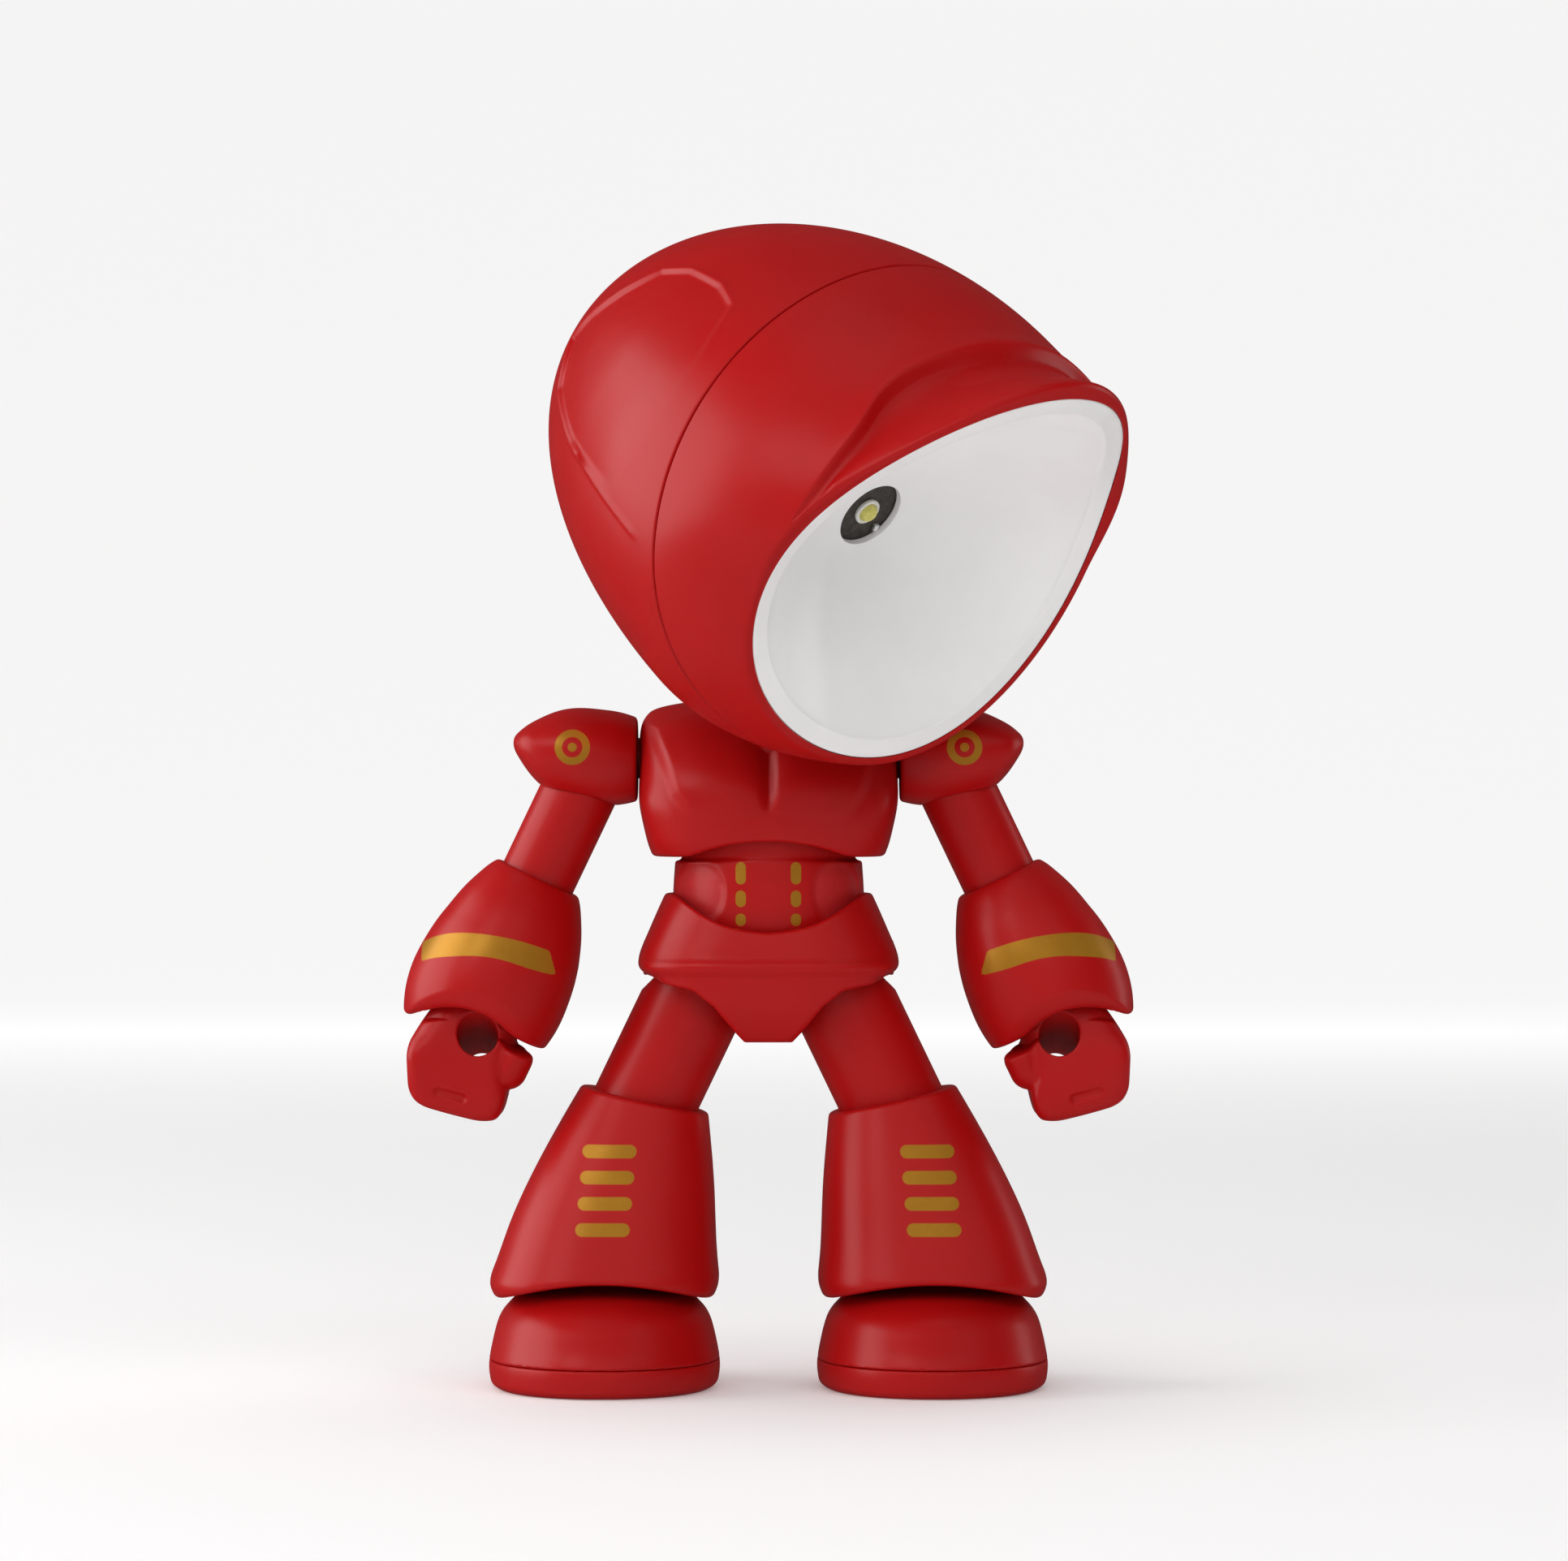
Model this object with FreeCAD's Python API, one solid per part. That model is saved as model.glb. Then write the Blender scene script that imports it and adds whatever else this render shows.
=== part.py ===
import FreeCAD, Part
import os
import math
from FreeCAD import Vector, Placement, Rotation, Matrix

# Figure-shaped night light: a standing jointed toy robot whose hood-like head is the lamp.
# Millimetres, +Z up, the figure faces -Y. Side "r" is the figure's own right hand, at -X.
# The model is laid out about the figure's own centre line, then moved along Y by SHIFT_Y
# so that the origin is at the bottom centre of the whole object's box.

os.makedirs("parts", exist_ok=True)

SHIFT_Y = 22.36             # from the body's mid-plane to the box centre

# ---- head: attitude and outline -------------------------------------------------------
HEAD_YAW = 46.0             # turned to the figure's left
HEAD_PITCH = 39.25          # tilted down
HEAD_ROLL = 7.0
HEAD_O = (20.86, -35.5, 96.82)   # centre of the mouth of the hood
NECK_BALL = (0.0, -11.0, 91.72)  # centre of the ball the head turns on
NECK_TILT = 25.0                 # the neck leans forward from upright
# mouth outline, radius about the lamp axis as harmonics of the angle round it
MOUTH = dict(a0=25.88, a1=2.12, a2=-0.395, a3=-0.988, a4=0.247)
RIM_E2, RIM_E3 = -3.2, -0.4      # how far the rim runs fore and aft round the mouth
# widest section of the egg
EGG = dict(w0=30.72, w1=-2.12, w2=0.988, w3=-0.296)
EGG_S = -15.9               # station of the widest section, behind the mouth
EGG_L = 62.6                # from the mouth back to the rear pole
EGG_DROP = -5.0             # rear pole below the lamp axis
SEAM = (-17.7, -0.45, 0.004)     # parting line of hood and rear shell: s = c0 + c1 b + c2 b^2
HEAD_WALL = 1.6
LIP_WALL = 1.0
REFL_DEPTH = 15.0
REFL_HOLE_R = 3.9           # bowl radius at its floor
LED_HOLE_R = 4.3            # hole in the floor that the LED looks through
REFL_WALL = 0.95
LED_PLANE = 15.6            # LED window behind the mouth centre
LED_B = -0.9

# ---- neck -------------------------------------------------------------------------------
BALL_R = 4.5
POST_R = 2.5
LINER_T = 1.0
RUN = 0.05                  # radial clearance of a running fit
NECK_OPEN_FWD, NECK_OPEN_SIDE = 4.7, 7.4   # the socket mouth points down, tipped this far forward and sideways
LINER_OPEN = 60.0
SOCKET_OPEN = 58.0
SOCKET_R = 7.6

# ---- torso ------------------------------------------------------------------------------
CHEST_A = 15.85
CHEST_BORE_R = 11.0
WAIST_R = 10.6
SHOULDER_Z = 77.0
SHOULDER_PIN_R = 2.5
WAIST_PIN_R = 4.0
HIP_X, HIP_Z = 6.9, 52.0
HIP_AXLE_R = 1.5
THIGH_R = 6.35
LEG_LEAN = 25.7             # thigh axis from vertical, outward
HIP_CUT = 22.0              # the skirt is relieved for this much swing each way

# ---- arm --------------------------------------------------------------------------------
ARM_P = (-24.0, 0.0, 71.5)  # a point on the arm's axis; t is measured from here down the arm
ARM_LEAN = 25.5
ARM_R = 4.7
FIST_BORE_R = 2.5
GRIP_C, GRIP_DIP = (2.9, 33.0), 20.0       # grip hole: place in the arm's (n, t), and dip to the rear
WRIST_T = 23.4
WRIST_SWING = 12.0          # the fist is trimmed to clear the cuff for this much swing each way
ARCH_R, ARCH_T = 9.0, 25.8  # arch in front and back of the cuff

# ---- foot -------------------------------------------------------------------------------
FOOT_X = 20.1
ANKLE_Z = 17.0
ANKLE_BALL_R = 4.0
SOLE_T = 3.5
BOOT_ARCH_R, BOOT_ARCH_Z = 37.0, 13.6      # arch of the boot's lower edge and its top

sin, cos, pi, sqrt = math.sin, math.cos, math.pi, math.sqrt
def rad(d): return d * pi / 180.0
V = Vector

# ------------------------------------------------------------------------------ helpers
def closed(points):
    c = Part.BSplineCurve()
    c.interpolate(Points=[V(*p) for p in points], PeriodicFlag=True)
    return Part.Wire([c.toShape()])

def superring(cx, cy, a, b, n, z, N=32, tilt=0.0):
    pts = []
    for i in range(N):
        t = 2 * pi * i / N - 1.07
        c, s = cos(t), sin(t)
        x = a * math.copysign(abs(c) ** (2.0 / n), c)
        y = b * math.copysign(abs(s) ** (2.0 / n), s)
        pts.append((cx + x, cy + y, z + x * tilt))
    return closed(pts)

def spanring(x0, x1, y0, y1, n, z, tilt=0.0, N=32):
    return superring((x0 + x1) / 2, (y0 + y1) / 2, (x1 - x0) / 2, (y1 - y0) / 2, n, z, N, tilt)

def loft(wires, ruled=False):
    s = Part.makeLoft(wires, True, ruled)
    if s.Volume < 0:
        s.reverse()
    return s

def cyl(r, p, q):
    p, q = V(*p), V(*q)
    return Part.makeCylinder(r, (q - p).Length, p, q - p)

def cone(r1, r2, p, q):
    p, q = V(*p), V(*q)
    return Part.makeCone(r1, r2, (q - p).Length, p, q - p)

def ball(r, p):
    return Part.makeSphere(r, V(*p))

def box(x0, x1, y0, y1, z0, z1):
    return Part.makeBox(x1 - x0, y1 - y0, z1 - z0, V(x0, y0, z0))

def prism_xz(points, y0, y1):
    w = Part.makePolygon([V(x, y0, z) for x, z in points] + [V(points[0][0], y0, points[0][1])])
    return Part.Face(w).extrude(V(0, y1 - y0, 0))

def prism_yz(points, x0, x1):
    w = Part.makePolygon([V(x0, y, z) for y, z in points] + [V(x0, points[0][0], points[0][1])])
    return Part.Face(w).extrude(V(x1 - x0, 0, 0))

def revolve_z(profile, axis_dir, base):
    """profile: (t, r) down an axis that starts at base and runs along axis_dir"""
    w = Part.makePolygon([V(r, 0, t) for t, r in profile] + [V(profile[0][1], 0, profile[0][0])])
    s = Part.Face(w).revolve(V(0, 0, 0), V(0, 0, 1), 360)
    if s.Volume < 0:
        s.reverse()
    rot = Rotation(V(0, 0, 1), V(*axis_dir))
    s.Placement = Placement(V(*base), rot).multiply(s.Placement)
    return s

def one(shape):
    """largest solid of a shape"""
    return sorted(shape.Solids, key=lambda q: q.Volume)[-1]

NUDGES = [(0, 0, 0), (0, 0, 0), (0.003, 0.002, 0.004), (-0.004, 0.003, -0.002), (0.006, -0.005, 0.007), (-0.009, -0.007, 0.005)]
FUZZ = [0.0, 1e-4, 0.0, 0.0, 1e-3, 0.0]
def _try(op, a, b, ok, label):
    """a boolean that is looked at before it is kept; a bad one is repeated with the tool a few microns away"""
    best = None
    for d, f in zip(NUDGES, FUZZ):
        t = b.copy()
        if d != (0, 0, 0):
            t.translate(V(*d))
        r = getattr(a, op)(t, f) if f else getattr(a, op)(t)
        if r.Solids and r.isValid() and ok(r):
            return r
    print("  bad", label, op, a.Volume, b.Volume, r.Volume, r.isValid())
    return r

def cut(a, *tools):
    for b in tools:
        va, vb = a.Volume, b.Volume
        a = _try("cut", a, b, lambda r: va - vb - 0.02 * va - 1 < r.Volume < va + 1e-3 * va, "cut")
    return a

def fuse(a, *tools):
    for b in tools:
        va, vb = a.Volume, b.Volume
        a = _try("fuse", a, b, lambda r: max(va, vb) - 1e-3 * va < r.Volume < va + vb + 1e-3 * (va + vb), "fuse")
    return a

def meet(a, b):
    va, vb = a.Volume, b.Volume
    return _try("common", a, b, lambda r: 0 < r.Volume < min(va, vb) + 1e-3 * min(va, vb), "common")

def mirror(s):
    return s.mirror(V(0, 0, 0), V(1, 0, 0))

NODES = {}
def out(name, shape):
    sh = shape.copy()
    sh.translate(V(0, SHIFT_Y, 0))
    sols = [s for s in sh.Solids if s.Volume > 0.02]
    if len(sols) == 1:
        final = sols[0]
    else:
        final = Part.makeCompound(sols)
    if not final.isValid():
        print("INVALID", name)
    final.exportStep("parts/%s.step" % name)
    NODES[name] = final
    bb = final.BoundBox
    print("%-20s solids %d vol %8.1f  x %6.1f %6.1f y %6.1f %6.1f z %6.1f %6.1f" %
          (name, len(sols), final.Volume, bb.XMin, bb.XMax, bb.YMin, bb.YMax, bb.ZMin, bb.ZMax))

# ------------------------------------------------------------------------------- the head
# Head frame: local x = a (to the figure's left), local y = -s (s forward along the lamp
# axis), local z = b (up). The mouth's centre is the local origin.
def rho(phi):
    m = MOUTH
    return (m["a0"] + m["a1"] * sin(phi) + m["a2"] * cos(2 * phi)
            + m["a3"] * sin(3 * phi) + m["a4"] * cos(4 * phi))

def egg_w(phi):
    return (EGG["w0"] + EGG["w1"] * sin(phi) + EGG["w2"] * cos(2 * phi) + EGG["w3"] * sin(3 * phi))

def egg_radius(phi, s, off=0.0):
    """radius and centre height of the egg's section at station s, inset by off"""
    if s > EGG_S:
        q = (s - EGG_S) / (-EGG_S)
        w = egg_w(phi)
        return w - (w - rho(phi) - LIP_WALL) * q * q - off, 0.0
    L = EGG_L + EGG_S
    k = (EGG_S - s) / (L - off)
    k = min(k, 1.0)
    kk = min((EGG_S - s) / L, 1.0)
    return (egg_w(phi) - off) * sqrt(max(0.0, 1 - k * k)), EGG_DROP * kk * kk

def egg_ring(s, off=0.0, N=36):
    pts = []
    for i in range(N):
        phi = 2 * pi * i / N
        r, c = egg_radius(phi, s, off)
        pts.append((r * cos(phi), -s, r * sin(phi) + c))
    return closed(pts)

def egg(off=0.0, front=6.0, thin=False, extra=0.0):
    """the egg inset by off; thin: the inset eases to the lip's thickness near the mouth"""
    off = off + extra
    L = EGG_L + EGG_S - off
    wires = []
    for q in (85, 79, 71, 62, 52, 41, 30, 20, 10):
        wires.append(egg_ring(EGG_S - L * sin(rad(q)), off))
    for s in (EGG_S, -12.0, -8.0, -5.5, -3.0, 0.0, 3.0, front):
        o = off
        if thin:
            o = off + (LIP_WALL + extra - off) * min(1.0, max(0.0, (s + 8.0) / 5.0))
        wires.append(egg_ring(s, o))
    return loft(wires)

def rim_points(back=0.0, n=24):
    """(b, s) of the rim, seen along the head's x axis"""
    pts = []
    for i in range(n + 1):
        t = -1 + 2.0 * i / n
        phi = math.asin(max(-1, min(1, t)))
        s = RIM_E2 * (1 - 2 * t * t) + RIM_E3 * (3 * t - 4 * t ** 3)
        pts.append(((rho(phi) + LIP_WALL) * t, s - back))
    return pts

def side_cutter(points, forward):
    """solid on one side of a curve in the (b, s) plane, drawn through the whole width"""
    c = Part.BSplineCurve()
    first, last = points[0], points[-1]
    ext0 = (first[0] - 12, first[1] + (first[1] - points[1][1]) * 12 / max(1e-3, abs(first[0] - points[1][0])) * 0.4)
    ext1 = (last[0] + 12, last[1] + (last[1] - points[-2][1]) * 12 / max(1e-3, abs(last[0] - points[-2][0])) * 0.4)
    P = [V(-60, -s, b) for b, s in [ext0] + list(points) + [ext1]]
    c.interpolate(Points=P)
    far = -60.0 if forward else 120.0
    e1 = c.toShape()
    a, z = P[0], P[-1]
    A = V(-60, far, a.z)
    Z = V(-60, far, z.z)
    w = Part.Wire([e1, Part.makeLine(z, Z), Part.makeLine(Z, A), Part.makeLine(A, a)])
    return Part.Face(w).extrude(V(120, 0, 0))

def seam_points(shift=0.0):
    c0, c1, c2 = SEAM
    return [(b, c0 + c1 * b + c2 * b * b + shift) for b in [-40 + 4 * i for i in range(21)]]

def head_to_body(shape):
    yaw = Rotation(V(0, 0, 1), HEAD_YAW)
    pitch = Rotation(V(1, 0, 0), HEAD_PITCH)
    roll = Rotation(V(0, -1, 0), HEAD_ROLL)
    rot = yaw.multiply(pitch).multiply(roll)
    s = shape.copy()
    s.Placement = Placement(V(*HEAD_O), rot).multiply(s.Placement)
    return s

def body_point_to_head(p):
    yaw = Rotation(V(0, 0, 1), HEAD_YAW)
    pitch = Rotation(V(1, 0, 0), HEAD_PITCH)
    roll = Rotation(V(0, -1, 0), HEAD_ROLL)
    rot = yaw.multiply(pitch).multiply(roll)
    return Placement(V(*HEAD_O), rot).inverse().multVec(V(*p))

BL = body_point_to_head(NECK_BALL)          # neck ball in the head's frame
print("neck ball in head frame", BL)

def build_head():
    outer, inner = egg(0.0), egg(HEAD_WALL, 8.0, True)
    mid = egg(0.75, 7.0)
    ahead_of_rim = side_cutter(rim_points(), True)
    ahead_of_seam = side_cutter(seam_points(), True)
    ahead_of_lip = side_cutter(seam_points(2.2), True)
    behind_seam = side_cutter(seam_points(), False)
    behind_lip = side_cutter(seam_points(2.4), False)

    # socket mouth: a slot in the underside for the neck post
    mid_rot = Rotation(V(0, 1, 0), -NECK_OPEN_SIDE).multiply(Rotation(V(1, 0, 0), 180.0 - NECK_OPEN_FWD))
    mid_ax = mid_rot.multVec(V(0, 0, 1))
    slot = box(-5.2, 5.2, -1.9, 1.9, 3.5, 15)
    slot = fuse(slot, Part.makeCylinder(5.2, 11.5, V(0, -1.9, 3.5)), Part.makeCylinder(5.2, 11.5, V(0, 1.9, 3.5)))
    slot.Placement = Placement(BL, mid_rot)

    # rear shell with a thin tongue that the hood slips over
    wall = cut(outer, inner)
    tongue = cut(mid, inner, ahead_of_lip, behind_seam)
    rear = one(fuse(cut(wall, ahead_of_seam), tongue))
    hood = cut(wall, behind_seam, ahead_of_rim)
    relief = meet(cut(egg(0.66, 7.0), egg(HEAD_WALL + 1.0, 9.0)), behind_lip)
    hood = cut(hood, relief)

    # battery door in the lower rear
    door_tool = box(-9.0, 9.0, 33.5, 50.0, -40, -14)
    door_gap = box(-9.15, 9.15, 33.35, 50.15, -40, -14)
    door = meet(wall, door_tool)
    rear = cut(rear, door_gap)
    # push button hole at the rear pole
    rear = cut(rear, cyl(4.0, (0, 55, EGG_DROP), (0, 70, EGG_DROP)))
    rear = cut(rear, slot)
    # door screw: counterbore and hole
    sx, sy = 0.0, 35.3
    door = cut(door, cyl(1.7, (sx, sy, -40), (sx, sy, -28.9)), cyl(0.85, (sx, sy, -40), (sx, sy, -20)))
    rear, hood, door = one(rear), one(hood), one(door)

    # reflector: a bowl with a flange that lines the mouth
    def bowl_r(phi, s):
        rim_s = RIM_E2 * cos(2 * phi) + RIM_E3 * sin(3 * phi) - 1.0
        u = max(0.0, (s + REFL_DEPTH)) / (rim_s + REFL_DEPTH)
        return REFL_HOLE_R + (rho(phi) - 2.0 - REFL_HOLE_R) * u ** (1 / 1.75)
    def bowl(back, out_, n=10, front=4.6):
        ws = []
        s0 = -REFL_DEPTH - back
        for k in range(n):
            s = s0 + (front - s0) * (k / (n - 1.0)) ** 1.7
            ws.append(closed([((bowl_r(2 * pi * i / 36, s + back) + out_) * cos(2 * pi * i / 36), -s,
                               (bowl_r(2 * pi * i / 36, s + back) + out_) * sin(2 * pi * i / 36)) for i in range(36)]))
        return loft(ws)
    plug = egg(HEAD_WALL, 8.0, True, 0.12)
    ahead_face = side_cutter(rim_points(0.15), True)
    behind_flange = side_cutter(rim_points(2.4), False)
    flange = cut(plug, ahead_face, behind_flange)
    b_out = cut(bowl(REFL_WALL, 0.6), side_cutter(rim_points(1.2), True))
    b_in = bowl(0.0, 0.0, front=5.4)
    refl = cut(fuse(flange, b_out), b_in)
    refl = cut(refl, cyl(LED_HOLE_R, (0, REFL_DEPTH - 1.6, LED_B), (0, REFL_DEPTH + 2, LED_B)))
    bx = 11.0                                   # screw bosses for the board
    for sgn in (-1, 1):
        refl = fuse(refl, cyl(1.7, (sgn * bx, 13.6, 0), (sgn * bx, REFL_DEPTH + 1.0, 0)))
        refl = cut(refl, cyl(0.7, (sgn * bx, 13.9, 0), (sgn * bx, REFL_DEPTH + 2.0, 0)))
    refl = one(refl)

    yb = REFL_DEPTH + 1.0                       # front face of the board
    board = box(-13.0, 13.0, yb, yb + 1.0, -6.0, 6.0)
    for sgn in (-1, 1):
        board = cut(board, cyl(0.95, (sgn * bx, yb - 1, 0), (sgn * bx, yb + 3, 0)))
    led = cyl(1.68, (0, LED_PLANE - 0.12, LED_B), (0, yb, LED_B))
    led = cut(led, cyl(1.22, (0, LED_PLANE - 1, LED_B), (0, LED_PLANE + 0.02, LED_B)))
    phos = meet(ball(1.2, (0, LED_PLANE + 0.1, LED_B)), box(-2, 2, LED_PLANE - 3, LED_PLANE + 0.02, LED_B - 2, LED_B + 2))
    resistor = box(2.1, 3.1, yb - 0.46, yb, LED_B - 3.0, LED_B - 2.2)
    screws = []
    for sgn in (-1, 1):
        x = sgn * bx
        screws.append(fuse(cyl(1.5, (x, yb + 1.0, 0), (x, yb + 1.8, 0)), cyl(0.7, (x, yb - 1.9, 0), (x, yb + 1.1, 0))))

    # neck socket: a ball cup on the floor of the rear shell, base and cap
    cavity = ball(BALL_R + RUN + LINER_T + RUN, BL)
    mouth_cone = Part.makeCone(0, 16 * math.tan(rad(SOCKET_OPEN)), 16, BL, mid_ax)
    sphere = ball(SOCKET_R, BL)
    keep = egg(HEAD_WALL, 8.0, True, 0.05)
    base_half = box(BL.x - 12, BL.x + 12, BL.y - 12, BL.y + 12, BL.z - 14, BL.z)
    cap_half = box(BL.x - 12, BL.x + 12, BL.y - 12, BL.y + 12, BL.z, BL.z + 12)
    skirt_pad = box(BL.x - 9.5, BL.x + 9.5, BL.y - 3.2, BL.y + 3.2, BL.z - 14, BL.z)
    cap_pad = box(BL.x - 9.5, BL.x + 9.5, BL.y - 3.2, BL.y + 3.2, BL.z, BL.z + 2.0)
    base = cut(meet(fuse(meet(sphere, base_half), skirt_pad), keep), cavity, mouth_cone, slot)
    cap = cut(meet(fuse(meet(sphere, cap_half), cap_pad), keep), cavity)
    sscrews = []
    for sgn in (-1, 1):
        x, y = BL.x + sgn * 8.4, BL.y
        base = cut(base, cyl(0.7, (x, y, BL.z - 3.2), (x, y, BL.z + 1)))
        cap = cut(cap, cyl(0.95, (x, y, BL.z - 1), (x, y, BL.z + 9)))
        cap = cut(cap, cyl(1.65, (x, y, BL.z + 2.0), (x, y, BL.z + 9)))
        sscrews.append(fuse(cyl(1.5, (x, y, BL.z + 2.0), (x, y, BL.z + 2.9)), cyl(0.7, (x, y, BL.z - 3.0), (x, y, BL.z + 2.1))))
    base, cap = one(base), one(cap)

    # battery tray with three button cells in a row across the head
    cy, cz, cr = 42.0, -17.3, 5.8
    tray = meet(box(-10.6, 10.6, 33.0, 49.5, -32, -9.5), egg(HEAD_WALL + 0.15))
    tray = cut(tray, cyl(cr + 0.15, (-9.2, cy, cz), (9.2, cy, cz)), box(-9.2, 9.2, cy - cr - 0.15,
            cy + cr + 0.15, -34, cz))
    tray = cut(tray, cyl(0.7, (sx, sy, -32), (sx, sy, -22)))
    tray = one(tray)
    cells = [cyl(cr, (-8.1 + 5.4 * k + 0.02, cy, cz), (-8.1 + 5.4 * (k + 1) - 0.02, cy, cz)) for k in range(3)]
    contact_p = cyl(4.2, (8.3, cy, cz), (9.15, cy, cz))
    contact_n = cone(4.0, 2.2, (-9.15, cy, cz), (-8.3, cy, cz))
    dscrew = fuse(cyl(1.5, (sx, sy, -29.5), (sx, sy, -28.9)), cyl(0.7, (sx, sy, -29.0), (sx, sy, -22.2)))

    # push switch behind the rear pole
    zb = EGG_DROP
    pole = EGG_L
    button = fuse(cyl(3.8, (0, pole - 3.6, zb), (0, pole + 1.0, zb)), cyl(4.9, (0, pole - 3.6, zb), (0, pole - 2.6, zb)),
                  cyl(1.5, (0, pole - 8.2, zb), (0, pole - 3.5, zb)))
    button = one(button)
    switch = box(-3.5, 3.5, 46.5, 53.0, zb - 3.5, zb + 3.5)
    bracket = cut(meet(box(-3.9, 3.9, 44.9, 46.5, -40, 40), egg(HEAD_WALL, 8.0, True, 0.05)), box(-10, 10, 40, 60, -30, -9.4))
    bracket = one(bracket)

    # two leads from the board to the switch and the battery
    def lead(pts, r=0.5):
        s = None
        for p, q in zip(pts, pts[1:]):
            c = cyl(r, p, q)
            s = c if s is None else fuse(s, c)
        for p in pts[1:-1]:
            s = fuse(s, ball(r, p))
        return s
    l1 = lead([(-3.0, yb + 1.0, 4.0), (-3.0, yb + 2.4, 4.0), (-3.0, 30.0, 9.0), (-1.5, 40.0, 1.0), (-1.5, 43.4, -2.0), (-1.5, 44.9, -2.0)])
    l2 = lead([(3.0, yb + 1.0, 4.0), (3.0, yb + 2.4, 4.0), (5.5, 28.0, 3.0), (7.5, 38.0, -4.0), (7.5, 40.0, -8.0), (7.5, 40.0, -9.5)])

    H = head_to_body
    out("head_rear_shell", H(rear))
    out("head_front_hood", H(hood))
    out("reflector", H(refl))
    out("led_board", H(board))
    out("led_package", H(led))
    out("led_window", H(phos))
    out("led_resistor", H(resistor))
    out("board_screws", H(Part.makeCompound(screws)))
    out("neck_socket_base", H(base))
    out("neck_socket_cap", H(cap))
    out("socket_screws", H(Part.makeCompound(sscrews)))
    out("battery_tray", H(tray))
    out("button_cells", H(Part.makeCompound(cells)))
    out("battery_contacts", H(Part.makeCompound([contact_p, contact_n])))
    out("battery_door", H(door))
    out("door_screw", H(dscrew))
    out("switch_button", H(button))
    out("switch_body", H(switch))
    out("switch_bracket", H(bracket))
    out("lead_wires", H(Part.makeCompound([l1, l2])))

    # liner between ball and socket: it pitches on the ball, the head rolls round it
    shell = cut(ball(BALL_R + RUN + LINER_T, BL), ball(BALL_R + RUN, BL))
    shell = cut(shell, Part.makeCone(0, 16 * math.tan(rad(LINER_OPEN)), 16, BL, mid_ax))
    out("neck_liner", H(one(shell)))

# ------------------------------------------------------------------------------ the torso
def neck(t):
    """point on the neck's axis, t down from the ball"""
    return (NECK_BALL[0], NECK_BALL[1] + t * sin(rad(NECK_TILT)), NECK_BALL[2] - t * cos(rad(NECK_TILT)))

def chest_wires(off=0.0):
    rows = [(64.9, 14.2, -12.4, 10.4, 2.8), (66.2, 14.7, -13.1, 10.9, 3.0), (68.5, 15.3, -13.6, 11.3, 3.2),
            (71.5, 15.85, -13.8, 11.6, 3.6), (75.0, 15.85, -13.2, 11.6, 3.6), (78.0, 15.85, -11.4, 11.0, 3.4),
            (80.5, 15.6, -9.0, 9.8, 3.0), (82.4, 14.0, -6.6, 8.2, 2.6), (83.5, 11.0, -4.6, 6.4, 2.4),
            (84.1, 7.6, -3.4, 4.6, 2.2)]
    ws = []
    for z, a, y0, y1, n in rows:
        ws.append(spanring(-a + off, a - off, y0 + off, y1 - off, n, z - (off * 0.9 if z > 80 else 0)))
    return ws

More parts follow.
